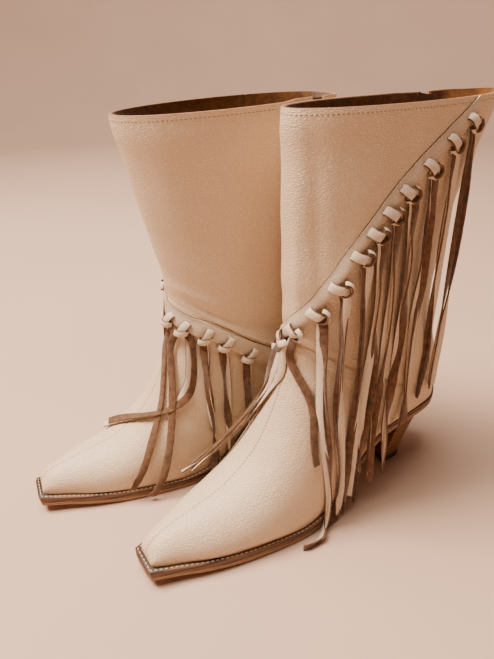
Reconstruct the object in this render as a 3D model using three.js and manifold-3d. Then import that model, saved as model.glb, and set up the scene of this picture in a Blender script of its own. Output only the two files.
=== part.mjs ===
// A pair of fringed western ankle boots: bone leather uppers, inside zips, stacked heels and leather
// fringe threaded through a slanting band. Millimetres, +Z up, toes towards -Y, wearer's left at +X.
import * as THREE from "three";
import { mergeVertices } from "three/addons/utils/BufferGeometryUtils.js";
import Module from "manifold-3d";

const wasm = await Module();
wasm.setup();

// Driving sizes.
const outsoleLength = 278;
const ballWidth = 78;
const shaftHeight = 302;
const heelHeight = 56;
const leather = 2.0;
const stiffener = 0.6;
const liningThick = 1.0;
const liningDepth = 4.0;
const bandWidth = 12;
const bandThick = 1.5;
const outsoleThick = 4.2;
const weltThick = 4.0;
const weltMargin = 4.0;
const insoleThick = 2.2;
const shankWidth = 16;
const shankThick = 1.2;
const sockThick = 1.2;
const liftThick = 6.0;
const zipBottom = 100;
const zipFoot = 46;
const tapeWidth = 18;
const leftZipBack = 44;
const rightZipBack = 22;
const chainWidth = 4.4;
const knotPitch = 20;
const strapWidth = 6;
const strapThick = 1.6;
const tailLength = 190;
const clearance = 0.3;
const layerGap = 0.5;
const bandGap = 0.9;
const shaftsApart = 5;
const rightTurn = THREE.MathUtils.degToRad(-7.15);
const rightStepForward = 43;

// The last and leg form are drawn once, for this size, and graded to the driving sizes.
const drawn = { length: 278, width: 78, height: 302, ankle: 150, heel: 56, ball: -170, seat: -46 };

// Rows of the form, toe to rim. Each starts on the front ridge and ends on the feather line or, above
// the heel seat, on the back seam: front y, front z, end y, end z, half-width, share of the way to the
// widest place, half-width at the end.
const footRows = [
  [-276.5, 16.6, -276.5, 16, 7, 0.5, 6.9],
  [-275.5, 23, -275.5, 15.8, 9.5, 0.6, 9.2],
  [-270, 30, -270, 15.3, 12.5, 0.7, 11.7],
  [-258, 34.5, -258, 14, 17, 0.75, 16],
  [-236, 40.5, -238, 12, 25.5, 0.75, 23.5],
  [-212, 47.5, -215, 10, 32, 0.75, 29.5],
  [-190, 62.5, -190, 9, 36.5, 0.75, 34],
  [-174, 83.5, -160, 9, 39, 0.78, 37],
  [-165, 103, -130, 15, 37.5, 0.75, 33.5],
  [-159.5, 119, -103, 34, 36, 0.7, 28],
  [-156.5, 132, -76, 53.5, 35.5, 0.65, 26.5],
  [-155, 144, -45, 62, 36, 0.6, 28.5],
  [-154.5, 150, -20, 64, 36.5, 0.55, 26],
  [-154.5, 155, -6, 65.1, 37, 0.5, 18],
  [-154.5, 159, 0.5, 65.6, 37, 0.48, 9.5],
  [-154.5, 163, 2.8, 67, 37, 0.48, 0.15],
];
const leftLegRows = [
  [-155, 172, 3, 88, 37, 0.48, 0.15],
  [-155.5, 185, -8, 116, 37, 0.5, 0.15],
  [-156, 200, -14, 152, 37, 0.5, 0.15],
  [-157, 222, -7, 188, 36.5, 0.5, 0.15],
  [-158, 248, 2, 224, 36, 0.5, 0.15],
  [-159, 272, 16, 257, 35, 0.48, 0.15],
  [-160, 289, 27, 284, 34, 0.45, 0.15],
  [-160, 300, 30, 302, 33, 0.42, 0.15],
];
const rightLegRows = [
  [-155.5, 172, 3, 88, 37, 0.48, 0.15],
  [-157.5, 185, -8, 116, 37.5, 0.5, 0.15],
  [-161, 200, -15, 152, 38.5, 0.5, 0.15],
  [-166, 220, -16, 188, 40.5, 0.5, 0.15],
  [-171, 244, -17, 224, 43, 0.5, 0.15],
  [-176, 266, -19, 258, 45.5, 0.5, 0.15],
  [-180, 282, -21, 286, 47.5, 0.5, 0.15],
  [-182, 294, -22, 302, 48, 0.5, 0.15],
];
const seatRow = 15;
const capRow = 0.9;
const topRow = 23;

// Height of the band's middle line, from the medial back seam (+1) over the front (0) to the rim.
const bandLine = [
  [1, 74], [0.85, 77], [0.7, 86], [0.55, 100], [0.42, 115], [0.34, 127], [0.26, 136], [0.16, 143],
  [0.08, 149], [0, 156], [-0.07, 165], [-0.14, 175], [-0.23, 193], [-0.31, 213], [-0.4, 237],
  [-0.46, 251], [-0.52, 265], [-0.58, 278], [-0.63, 288], [-0.66, 294],
];
const bandEnd = -0.66;

const widthGrade = ballWidth / drawn.width;
const lengthGrade = outsoleLength / drawn.length;
const legGrade = (shaftHeight - drawn.ankle) / (drawn.height - drawn.ankle);
const seatRise = heelHeight - drawn.heel;

function mix(a, b, t) {
  return a + (b - a) * t;
}

function smooth(t) {
  const c = THREE.MathUtils.clamp(t, 0, 1);
  return c * c * (3 - 2 * c);
}

// Moves a point of the drawn form to the graded one.
function grade(p) {
  const heelShare = smooth((p.y - drawn.ball) / (drawn.seat - drawn.ball));
  const leg = Math.max(p.z - drawn.ankle, 0);
  p.z = Math.min(p.z, drawn.ankle) + leg * legGrade + seatRise * heelShare;
  p.x *= widthGrade;
  p.y *= lengthGrade;
  return p;
}

function rowAt(rows, place) {
  const last = rows.length - 1;
  const at = THREE.MathUtils.clamp(place, 0, last);
  const i = Math.min(Math.floor(at), last - 1);
  const t = at - i;
  const before = rows[Math.max(i - 1, 0)];
  const after = rows[Math.min(i + 2, last)];
  return rows[i].map((p1, k) => {
    const p0 = before[k];
    const p2 = rows[i + 1][k];
    const p3 = after[k];
    const bend = 2 * p0 - 5 * p1 + 4 * p2 - p3;
    const twist = 3 * p1 - p0 - 3 * p2 + p3;
    return 0.5 * (2 * p1 + (p2 - p0) * t + bend * t * t + twist * t * t * t);
  });
}

function solveFor(low, high, wanted, measure) {
  const rising = measure(high) > measure(low);
  for (let i = 0; i < 40; i++) {
    const middle = (low + high) / 2;
    if (measure(middle) < wanted === rising) low = middle;
    else high = middle;
  }
  return (low + high) / 2;
}

// The outer surface of one boot. "around" runs from -1 on the lateral side over the front ridge at 0 to
// +1 on the medial side, and "out" stands off the surface along its normal.
class Skin {
  constructor(legRows, lateral, zipBack) {
    this.rows = footRows.concat(legRows);
    this.lateral = lateral;
    this.zipLow = this.onForm(-zipFoot * lengthGrade, zipBottom);
    this.zipHigh = this.onForm(this.form(topRow, 1).y - zipBack, shaftHeight - 2);
  }
  // The unstraightened surface.
  form(row, around) {
    const [frontY, frontZ, endY, endZ, half, widest, reach] = rowAt(this.rows, row);
    const endHalf = Math.max(reach, clearance / 2);
    const side = Math.abs(around);
    let along;
    let width;
    if (side < 0.5) {
      along = widest * (1 - Math.cos(side * Math.PI));
      width = half * Math.sin(side * Math.PI);
    } else {
      const sweep = Math.sin((side - 0.5) * Math.PI);
      along = widest + (1 - widest) * sweep;
      width = half * Math.sqrt(1 - sweep ** 2 * (1 - (endHalf / half) ** 2));
    }
    const x = this.lateral * width * (around > 0 ? -1 : 1);
    return grade(new THREE.Vector3(x, mix(frontY, endY, along), mix(frontZ, endZ, along)));
  }
  // The point of the medial side at a given y and z.
  onForm(y, z) {
    const aroundAt = (row) => solveFor(0.3, 1, y, (t) => this.form(row, t).y);
    const row = solveFor(seatRow - 5, topRow, z, (r) => this.form(r, aroundAt(r)).z);
    return this.form(row, aroundAt(row));
  }
  zipPoint(z) {
    const t = (z - this.zipLow.z) / (this.zipHigh.z - this.zipLow.z);
    return new THREE.Vector3().lerpVectors(this.zipLow, this.zipHigh, t);
  }
  // The zip's tapes hold the leather beside them straight.
  point(row, around) {
    const p = this.form(row, around);
    if (around <= 0.3) return p;
    const line = this.zipPoint(p.z);
    const near = 1 - smooth((Math.abs(p.y - line.y) - 12) / 22);
    const reach = smooth((p.z - this.zipLow.z + 6) / 16);
    p.x = mix(p.x, line.x, near * reach);
    return p;
  }
  at(row, around, out) {
    const step = 0.004;
    const side = Math.abs(around) > 1 - step ? Math.sign(around) : 0;
    const a0 = side > 0 ? 1 - 2 * step : Math.max(around - step, -1);
    const a1 = side < 0 ? -1 + 2 * step : Math.min(around + step, 1);
    const here = this.point(row, around);
    const across = this.point(row, a1).sub(this.point(row, a0));
    const up = this.point(Math.min(row + 0.05, topRow), around);
    up.sub(this.point(Math.max(row - 0.05, 0), around));
    const normal = across.cross(up).multiplyScalar(-this.lateral).normalize();
    return here.addScaledVector(normal, out);
  }
  rowAtHeight(around, z) {
    return solveFor(7, topRow, z, (row) => this.point(row, around).z);
  }
  aroundAtY(row, y, sign) {
    return sign * solveFor(0, 1, y, (t) => this.point(row, sign * t).y);
  }
  bandHeight(around) {
    const i = Math.max(bandLine.findIndex(([a]) => a <= around), 1);
    const [a0, z0] = bandLine[i - 1];
    const [a1, z1] = bandLine[Math.min(i, bandLine.length - 1)];
    const drawnZ = mix(z0, z1, THREE.MathUtils.clamp((around - a0) / (a1 - a0), 0, 1));
    return grade(new THREE.Vector3(0, around === 1 ? 0 : drawn.ball, drawnZ)).z;
  }
  bandRow(around, above = 0) {
    return this.rowAtHeight(around, this.bandHeight(around) + above);
  }
  // Shares the band's length from one around value to another out evenly; gives it a length too.
  bandSteps(from, to) {
    const count = 120;
    const arounds = Array.from({ length: count + 1 }, (_, i) => mix(from, to, i / count));
    const travelled = [0];
    arounds.reduce((last, around) => {
      const here = this.point(this.bandRow(around), around);
      if (last) travelled.push(travelled.at(-1) + here.distanceTo(last));
      return here;
    }, null);
    const step = (share) => {
      const goal = THREE.MathUtils.clamp(share, 0, 1) * travelled.at(-1);
      const i = Math.max(travelled.findIndex((far) => far >= goal), 1);
      const t = (goal - travelled[i - 1]) / (travelled[i] - travelled[i - 1]);
      return mix(arounds[i - 1], arounds[i], THREE.MathUtils.clamp(t, 0, 1));
    };
    step.length_mm = travelled.at(-1);
    return step;
  }
}

// A closed solid between two grids of points of the same size.
function slab(outer, inner) {
  const rows = outer.length;
  const columns = outer[0].length;
  const corners = [...outer.flat(), ...inner.flat()];
  const under = rows * columns;
  const faces = [];
  const quad = (a, b, c, d) => faces.push(a, b, c, a, c, d);
  for (let i = 0; i < rows - 1; i++) {
    for (let j = 0; j < columns - 1; j++) {
      const a = i * columns + j;
      const b = a + columns;
      quad(a, b, b + 1, a + 1);
      quad(under + a, under + a + 1, under + b + 1, under + b);
    }
  }
  for (let i = 0; i < rows - 1; i++) {
    const a = i * columns;
    const b = a + columns;
    quad(a, under + a, under + b, b);
    quad(a + columns - 1, b + columns - 1, under + b + columns - 1, under + a + columns - 1);
  }
  for (let j = 0; j < columns - 1; j++) {
    const a = (rows - 1) * columns + j;
    quad(j, j + 1, under + j + 1, under + j);
    quad(a, under + a, under + a + 1, a + 1);
  }
  return geometryOf(corners, faces);
}

function geometryOf(corners, faces) {
  const geometry = new THREE.BufferGeometry().setFromPoints(corners);
  geometry.setIndex(faces);
  if (volumeOf(geometry) < 0) geometry.setIndex(faces.slice().reverse());
  return geometry;
}

function volumeOf(geometry) {
  const p = geometry.getAttribute("position");
  const index = geometry.getIndex().array;
  const [a, b, c] = [new THREE.Vector3(), new THREE.Vector3(), new THREE.Vector3()];
  let six = 0;
  for (let i = 0; i < index.length; i += 3) {
    a.fromBufferAttribute(p, index[i]);
    b.fromBufferAttribute(p, index[i + 1]);
    c.fromBufferAttribute(p, index[i + 2]);
    six += a.dot(b.cross(c));
  }
  return six / 6;
}

function solidOf(geometry) {
  const bare = geometry.clone();
  bare.deleteAttribute("normal");
  bare.deleteAttribute("uv");
  const merged = mergeVertices(bare, 1e-4);
  const vertProperties = new Float32Array(merged.getAttribute("position").array);
  const triVerts = new Uint32Array(merged.getIndex().array);
  return new wasm.Manifold(new wasm.Mesh({ numProp: 3, vertProperties, triVerts }));
}

function geometryFrom(solid) {
  const mesh = solid.getMesh();
  const geometry = new THREE.BufferGeometry();
  geometry.setAttribute("position", new THREE.BufferAttribute(mesh.vertProperties, 3));
  geometry.setIndex(new THREE.BufferAttribute(mesh.triVerts, 1));
  return geometry;
}

function joined(geometries) {
  return geometryFrom(geometries.map(solidOf).reduce((whole, next) => whole.add(next)));
}

function cut(geometry, tools) {
  return geometryFrom(tools.map(solidOf).reduce((rest, tool) => rest.subtract(tool), solidOf(geometry)));
}

// A piece of sheet on the skin: "place" gives the row and around value of each grid point.
function sheet(skin, rows, columns, out, thick, place, innerPlace = place) {
  const grid = (where, depth) =>
    Array.from({ length: rows + 1 }, (_, i) =>
      Array.from({ length: columns + 1 }, (_, j) => {
        const [row, around] = where(i / rows, j / columns);
        return skin.at(row, around, depth);
      }),
    );
  return slab(grid(place, out), grid(innerPlace, out - thick));
}

// A strap swept along points, with its width along the given directions.
function strap(points, widths, outs, width, thick) {
  const ring = points.map((p, i) => {
    const across = widths[i].clone().multiplyScalar(width / 2);
    const up = outs[i].clone().multiplyScalar(thick / 2);
    const flat = across.clone().negate();
    const down = up.clone().negate();
    return [[across, up], [flat, up], [flat, down], [across, down]].map(([a, b]) =>
      p.clone().add(a).add(b),
    );
  });
  return loft(ring);
}

// Joins rings of equal length and closes both ends.
function loft(rings) {
  const count = rings[0].length;
  const corners = rings.flat();
  const faces = [];
  for (let i = 0; i < rings.length - 1; i++) {
    for (let j = 0; j < count; j++) {
      const a = i * count + j;
      const b = i * count + ((j + 1) % count);
      faces.push(a, b, b + count, a, b + count, a + count);
    }
  }
  const end = (rings.length - 1) * count;
  for (let j = 1; j < count - 1; j++) {
    faces.push(0, j + 1, j);
    faces.push(end, end + j, end + j + 1);
  }
  return geometryOf(corners, faces);
}

// The bottom outline: y, half-width and height of the feather line, from toe row 0 to the seat row.
function feather(skin, row) {
  const [, , endY, endZ, , , endHalf] = rowAt(skin.rows, row);
  const p = grade(new THREE.Vector3(endHalf, endY, endZ));
  return { y: p.y, half: p.x, z: p.z };
}

// A layer of the bottom between two heights over the feather line, wider than it by a margin.
function layer(skin, bottom, top, margin, fromRow = 0, toRow = seatRow, halfLimit = Infinity) {
  const toe = feather(skin, 0).y;
  const heel = feather(skin, seatRow).y;
  const middle = (toe + heel) / 2;
  const reach = (heel - toe) / 2;
  const rings = [];
  for (let row = fromRow; row <= toRow; row++) {
    const here = feather(skin, row);
    const next = feather(skin, Math.min(row + 0.1, seatRow));
    const last = feather(skin, Math.max(row - 0.1, 0));
    const slope = THREE.MathUtils.clamp((next.half - last.half) / (next.y - last.y), -1.6, 1.6);
    const m = typeof margin === "function" ? margin(here.y) : margin;
    const y = here.y + m * ((here.y - middle) / reach) ** 5;
    const half = Math.max(here.half + m * Math.hypot(1, slope), strapWidth / 2);
    const x = Math.min(half, halfLimit);
    const low = Math.max(here.z + bottom, 0);
    const high = here.z + top;
    rings.push([[-x, low], [x, low], [x, high], [-x, high]].map(([p, z]) => new THREE.Vector3(p, y, z)));
  }
  return loft(rings);
}

const weltTop = -layerGap;
const weltBottom = weltTop - weltThick;
const outsoleTop = weltBottom - clearance;
const outsoleBottom = outsoleTop - outsoleThick;
const insoleInset = -(liningDepth + liningThick + 2 * layerGap);

function weltReach(y) {
  const waist = smooth((y - -150 * lengthGrade) / (40 * lengthGrade));
  return mix(weltMargin, 1, waist);
}

// The stacked heel: a D-shaped block under the seat, undercut towards the floor.
function heelRing(skin, share, level) {
  const breast = mix(drawn.seat + 1, drawn.seat + 3, share) * lengthGrade;
  const back = mix(0.5, -9, smooth(share)) * lengthGrade;
  const half = mix(27, 22, share) * widthGrade;
  const round = half * 0.95;
  const points = [];
  const around = 9;
  for (let i = 0; i <= around; i++) {
    const turn = (i / around) * Math.PI;
    points.push([half * Math.cos(turn), back - round + round * Math.sin(turn)]);
  }
  points.push([-half, breast], [0, breast + 3], [half, breast]);
  return points.map(([x, y]) => new THREE.Vector3(x, y, level(y)));
}

const heelScrewRow = 12;

function heelScrewAt(skin) {
  const { y, z } = feather(skin, heelScrewRow);
  return new THREE.Vector3(0, y, z);
}

function screwGeometry(skin, grow) {
  const head = 3.2 + grow;
  const shank = 1.7 + grow;
  const place = heelScrewAt(skin);
  const start = place.z + insoleThick - 0.4;
  const profile = [
    [0, start - 34 - grow], [shank, start - 34 - grow], [shank, start - 2 - grow], [head, start - 2 - grow],
    [head, start + grow * 20], [0, start + grow * 20],
  ].map(([r, z]) => new THREE.Vector2(r, z));
  const turned = new THREE.LatheGeometry(profile, 12);
  turned.rotateX(Math.PI / 2);
  turned.translate(0, place.y, 0);
  return turned;
}

const colours = {
  bone: 0xd9c8b0, suede: 0x8a6038, welt: 0x4a2f20, outsole: 0xb47a48, heel: 0x6a4428,
  rubber: 0x2c2622, lining: 0x8c6a33, board: 0xa88a66, steel: 0xb8b4ac, tape: 0x8a6a4a, fibre: 0xb9a78c,
};

const pair = new THREE.Group();

function makeBoot(name, legRows, lateral, zipBack) {
  const boot = new THREE.Group();
  const skin = new Skin(legRows, lateral, zipBack);
  const add = (part, geometry, color, roughness = 0.8, metalness = 0) => {
    const material = new THREE.MeshStandardMaterial({ color, roughness, metalness });
    const mesh = new THREE.Mesh(geometry, material);
    mesh.name = `${name}_${part}`;
    boot.add(mesh);
    return mesh;
  };
  addSole(skin, add);
  addUpper(skin, add);
  addZip(skin, add);
  addFringe(skin, add);
  pair.add(boot);
  return boot;
}

function addSole(skin, add) {
  const hole = screwGeometry(skin, clearance);
  add("outsole", cut(layer(skin, outsoleBottom, outsoleTop, weltReach), [hole]), colours.outsole);
  const ringWidth = 9;
  const core = layer(skin, weltBottom - 1, weltTop + 1, -ringWidth);
  add("welt", cut(layer(skin, weltBottom, weltTop, weltReach), [core]), colours.welt);
  const fill = -ringWidth - clearance;
  add("cork_filler", layer(skin, weltBottom, weltTop - clearance, fill, 1, 7), colours.board);
  const shankBase = weltBottom + layerGap;
  const shank = layer(skin, shankBase, shankBase + shankThick, fill, 8, 11, shankWidth / 2);
  add("shank", shank, colours.steel, 0.4, 0.9);
  const insole = layer(skin, weltTop + clearance, insoleThick, insoleInset);
  add("insole_board", cut(insole, [hole]), colours.board);
  const sockBase = insoleThick + clearance;
  add("sock_liner", layer(skin, sockBase, sockBase + sockThick, insoleInset), colours.lining);
  add("heel_screw", screwGeometry(skin, 0), colours.steel, 0.4, 0.9);
  const seat = outsoleBottom - 2 * layerGap;
  const top = (y) => feather(skin, solveFor(10, seatRow, y, (row) => feather(skin, row).y)).z + seat;
  const levels = 4;
  const base = liftThick + clearance;
  const rings = Array.from({ length: levels + 1 }, (_, i) =>
    heelRing(skin, i / levels, (y) => mix(top(y), base, i / levels)),
  );
  add("heel_stack", cut(loft(rings), [hole]), colours.heel);
  add("heel_lift", loft([heelRing(skin, 1, () => liftThick), heelRing(skin, 1, () => 0)]), colours.rubber);
}

// Straight frame of the zip: across the leather, out of it and up along the zip.
function zipFrameOf(skin) {
  const along = skin.zipHigh.clone().sub(skin.zipLow).normalize();
  const outward = new THREE.Vector3(-skin.lateral, 0, 0);
  outward.addScaledVector(along, -outward.dot(along)).normalize();
  const across = new THREE.Vector3().crossVectors(outward, along).normalize();
  const frame = new THREE.Matrix4().makeBasis(across, outward, along).setPosition(skin.zipLow);
  return { frame, along, across, length: skin.zipHigh.distanceTo(skin.zipLow) };
}

// The cuts that part the leather: the band's line, the vamp's centre seam, the zip and its seam below.
function seamKnives(skin) {
  const gap = clearance / 2;
  const deep = 5 * leather;
  const path = skin.bandSteps(bandEnd, 1);
  const line = (u, v) => [skin.bandRow(path(v), mix(-gap, gap, u)), path(v)];
  const alongBand = sheet(skin, 1, 40, deep / 2, deep, line);
  const end = skin.at(skin.bandRow(bandEnd), bandEnd, 0);
  const normal = skin.at(skin.bandRow(bandEnd), bandEnd, 1).sub(end);
  const toRim = new THREE.BoxGeometry(deep, clearance, shaftHeight);
  toRim.rotateZ(Math.atan2(normal.y, normal.x));
  toRim.translate(end.x, end.y, end.z + shaftHeight / 2 - gap);
  const ankle = skin.bandHeight(0);
  const centre = new THREE.BoxGeometry(clearance, outsoleLength, ankle);
  centre.translate(0, skin.point(12, 0).y + 15 - outsoleLength / 2, ankle / 2);
  const { frame, length } = zipFrameOf(skin);
  const open = chainWidth / 2 + 2.4;
  const slot = zipBox(frame, [-open, open], [-deep, deep], [0, 2 * length]);
  const crossing = solveFor(0.3, 0.98, 0, (around) => {
    const p = skin.at(skin.bandRow(around), around, 0);
    return p.y - skin.zipPoint(p.z).y;
  });
  const drop = skin.zipLow.distanceTo(skin.at(skin.bandRow(crossing), crossing, 0));
  const seam = zipBox(frame, [-gap, gap], [-deep, deep], [-drop - 2 * leather, 1]);
  return [alongBand, toRim, centre, slot, seam];
}

function zipTapeBox(skin, grow) {
  const { frame, length } = zipFrameOf(skin);
  const half = tapeWidth / 2 + grow;
  return zipBox(frame, [-half, half], [tapeOut - stiffener - grow, tapeOut + grow], [-4 - grow, length + grow]);
}

// Parts a geometry with knives and names each piece by the place it holds.
function parted(geometry, knives, seats) {
  const pieces = solidOf(cut(geometry, knives)).decompose().filter((piece) => piece.volume() > 50);
  const taken = Object.entries(seats).map(([part, seat]) => {
    const gaps = pieces.map((piece) => {
      const p = new THREE.Vector3();
      const { vertProperties } = piece.getMesh();
      let nearest = Infinity;
      for (let i = 0; i < vertProperties.length; i += 3) {
        nearest = Math.min(nearest, p.fromArray(vertProperties, i).distanceTo(seat));
      }
      return nearest;
    });
    return [part, geometryFrom(pieces[gaps.indexOf(Math.min(...gaps))])];
  });
  return taken;
}

function addUpper(skin, add) {
  const sides = 16;
  const whole = (low, high) => (u, v) => [mix(low, high, u), mix(-1, 1, v)];
  const outer = (u, v) => [topRow * u, mix(-1, 1, v)];
  const inner = (u, v) => [Math.max(topRow * u, capRow * (1 + u)), mix(-1, 1, v)];
  const shell = sheet(skin, topRow, sides, 0, leather, outer, inner);
  const knives = [...seamKnives(skin), zipTapeBox(skin, clearance)];
  const pieces = parted(shell, knives, {
    lower_lateral: skin.at(8, -0.5, 0),
    lower_medial: skin.at(8, 0.5, 0),
    shaft_front: skin.at(20, 0, 0),
    shaft_back: skin.at(20, 0.98, 0),
  });
  for (const [part, geometry] of pieces) add(part, geometry, colours.bone);
  const collar = 11;
  const deep = -liningDepth;
  const foot = sheet(skin, collar - 2, sides, deep, liningThick, whole(2, collar - 0.05));
  const inside = layer(skin, -20, insoleThick + sockThick + 2 * layerGap, insoleInset + layerGap);
  const trims = [inside, layer(skin, -20, clearance, 1)];
  add("foot_lining", cut(foot, trims), colours.lining);
  const leg = sheet(skin, topRow - collar, sides, deep, liningThick, whole(collar, topRow));
  const { frame, length } = zipFrameOf(skin);
  const half = tapeWidth / 2 + clearance;
  const slot = zipBox(frame, [-half, half], [-12, 6], [-5, 2 * length]);
  add("shaft_lining", cut(leg, [slot, ...trims]), colours.lining);
  const depth = -leather - layerGap;
  const step = 2 / sides;
  const puff = (u, v) => [mix(2, 4, u), mix(-6, 6, v) * step];
  add("toe_puff", sheet(skin, 2, 12, depth, stiffener, puff), colours.fibre);
  const wrap = [7, 8, -8, -7, -6].map((place) => place * step);
  const back = (u, v) => [mix(seatRow, 17, u), wrap[Math.round(v * (wrap.length - 1))]];
  add("heel_counter", sheet(skin, 2, wrap.length - 1, depth, stiffener, back), colours.fibre);
  const out = bandGap + bandThick;
  const strip = (from, to, count) => {
    const path = skin.bandSteps(from, to);
    const place = (u, v) => [skin.bandRow(path(v), (u - 0.5) * bandWidth), path(v)];
    return sheet(skin, 2, count, out, bandThick, place);
  };
  add("band_lateral", strip(-0.004, bandEnd + 0.02, 16), colours.bone);
  add("band_medial", strip(0.004, 0.98, 26), colours.bone);
}

const chainOut = -0.6;
const tapeOut = -leather - 0.7;

// A box given by its ranges across, out of and along the zip.
function zipBox(frame, across, out, along) {
  const size = [across, out, along].map(([low, high]) => high - low);
  const middle = [across, out, along].map(([low, high]) => (low + high) / 2);
  const box = new THREE.BoxGeometry(...size);
  box.translate(...middle);
  box.applyMatrix4(frame);
  return box;
}

function addZip(skin, add) {
  const { frame, along, across, length } = zipFrameOf(skin);
  const half = chainWidth / 2;
  const chain = zipBox(frame, [-half, half], [tapeOut + clearance, chainOut], [0, length - 3]);
  add("zip_chain", chain, colours.tape);
  add("zip_tape", zipTapeBox(skin, 0), colours.tape);
  const end = length - 1;
  const start = end - 11;
  const lip = half + clearance;
  const wide = lip + 0.9;
  const plate = 1.2;
  const plateBase = chainOut + clearance;
  const body = plateBase + plate;
  const arch = body + 3.0;
  const slider = joined([
    zipBox(frame, [-wide, wide], [plateBase, body], [start, end]),
    zipBox(frame, [-wide, -lip], [plateBase - 1.2, body - 0.2], [start, end]),
    zipBox(frame, [lip, wide], [plateBase - 1.2, body - 0.2], [start, end]),
    zipBox(frame, [-0.8, 0.8], [body - 0.2, arch], [start + 1.5, start + 2.7]),
    zipBox(frame, [-0.8, 0.8], [body - 0.2, arch], [end - 2.7, end - 1.5]),
    zipBox(frame, [-0.8, 0.8], [arch - 1, arch], [start + 1.5, end - 1.5]),
  ]);
  add("zip_slider", slider, colours.steel, 0.35, 0.9);
  const pivotOut = body + 1.0;
  const pivotAlong = start + 4.2;
  const bar = 0.5;
  const arm = [pivotOut - bar, pivotOut + bar];
  const puller = joined([
    zipBox(frame, [-3, 3], arm, [pivotAlong - bar, pivotAlong + bar]),
    zipBox(frame, [-3, -2], arm, [pivotAlong - 8, pivotAlong + bar]),
    zipBox(frame, [2, 3], arm, [pivotAlong - 8, pivotAlong + bar]),
    zipBox(frame, [-3, 3], arm, [pivotAlong - 30, pivotAlong - 7]),
  ]);
  const mesh = add("zip_puller", puller, colours.suede);
  const pivot = new THREE.Vector3(0, pivotOut, pivotAlong).applyMatrix4(frame);
  mesh.userData = { pivot, across, along, travel: start };
}

// Where the knots sit: stepped along the band at the knot pitch.
function knotPlaces(path) {
  const count = Math.floor(path.length_mm / knotPitch);
  return Array.from({ length: count + 1 }, (_, i) => path((i * knotPitch + strapWidth) / path.length_mm));
}

// One tail: down the outside of the boot at its own y, then straight down past the sole.
function tail(skin, around, lean, stand, length) {
  const sign = Math.sign(around);
  const startRow = skin.bandRow(around, -bandWidth / 2 + 1);
  const start = skin.point(startRow, around);
  const outward = new THREE.Vector3(-skin.lateral * sign, 0, 0);
  const bottomRow = solveFor(6.5, 13, start.y, (r) => skin.point(r, sign).y);
  const steps = 4;
  const points = [];
  const floor = 4;
  const soleRow = solveFor(5, seatRow, start.y, (r) => feather(skin, r).y);
  const sole = feather(skin, soleRow);
  const soleSide = sole.half + weltReach(sole.y) + strapThick;
  for (let i = 0; i <= steps; i++) {
    const t = i / steps;
    const z = Math.max(start.z - t * length, floor);
    const y = start.y + lean * t;
    const row = solveFor(bottomRow, startRow, z, (r) => skin.point(r, skin.aroundAtY(r, y, sign)).z);
    const a = skin.aroundAtY(row, y, sign);
    const skinPoint = skin.at(row, a, i ? stand + strapThick : stand);
    const clear = i && z < sole.z + 25 ? soleSide : 0;
    const x = Math.max(Math.abs(skinPoint.x), i ? Math.abs(points[i - 1].x) : 0, clear);
    points.push(new THREE.Vector3(x * outward.x, i ? y : skinPoint.y, i ? z : start.z));
  }
  const widths = points.map((_, i) => new THREE.Vector3(i ? 0 : 0.1 * outward.x, 1, 0).normalize());
  return strap(points, widths, points.map(() => outward), strapWidth, strapThick);
}

// The root strip's sides, short enough to follow the band round the heel.
const rootStep = 7;

function addFringe(skin, add) {
  const groups = [
    ["fringe_lateral_front", -0.03, -0.26],
    ["fringe_lateral_middle", -0.3, -0.47],
    ["fringe_lateral_rear", -0.5, bandEnd + 0.03],
    ["fringe_medial_front", 0.03, 0.4],
    ["fringe_medial_rear", 0.45, 0.8],
  ];
  const out = 2 * bandGap + bandThick + 2 * layerGap;
  for (const [part, from, to] of groups) {
    const path = skin.bandSteps(from, to);
    const root = (u, v) => [skin.bandRow(path(v), -bandWidth / 2 + mix(0, 4, u)), path(v)];
    const steps = Math.ceil(path.length_mm / rootStep);
    const pieces = [sheet(skin, 1, steps, out + 2, 2, root)];
    for (const around of knotPlaces(path)) pieces.push(tail(skin, around, 0, out + 1, tailLength));
    const mesh = add(part, joined(pieces), colours.bone);
    const ends = [from, to].map((a) => skin.at(skin.bandRow(a, -bandWidth / 2 + 4), a, out));
    mesh.userData = { ends };
  }
}

const left = makeBoot("left", leftLegRows, 1, leftZipBack);
const right = makeBoot("right", rightLegRows, -1, rightZipBack);
const middleShare = 0.67;
const besideLeft = (36.5 + 48) * widthGrade + shaftsApart;
const swing = Math.sin(-rightTurn) * outsoleLength * middleShare;
const turned = new THREE.Vector3(0, outsoleLength, 0).applyAxisAngle(new THREE.Vector3(0, 0, 1), rightTurn);
right.rotation.z = rightTurn;
right.position.set(-besideLeft - swing, -outsoleLength - rightStepForward, 0).add(turned);

// The origin is the middle of the pair's footprint, on the floor.
const box = new THREE.Box3().setFromObject(pair, true);
const centre = box.getCenter(new THREE.Vector3());
for (const boot of [left, right]) boot.position.sub(new THREE.Vector3(centre.x, centre.y, box.min.z));

export default pair;
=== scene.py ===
import bpy
import math
import random
import numpy as np
from mathutils import Matrix, Vector
from mathutils.bvhtree import BVHTree


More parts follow.
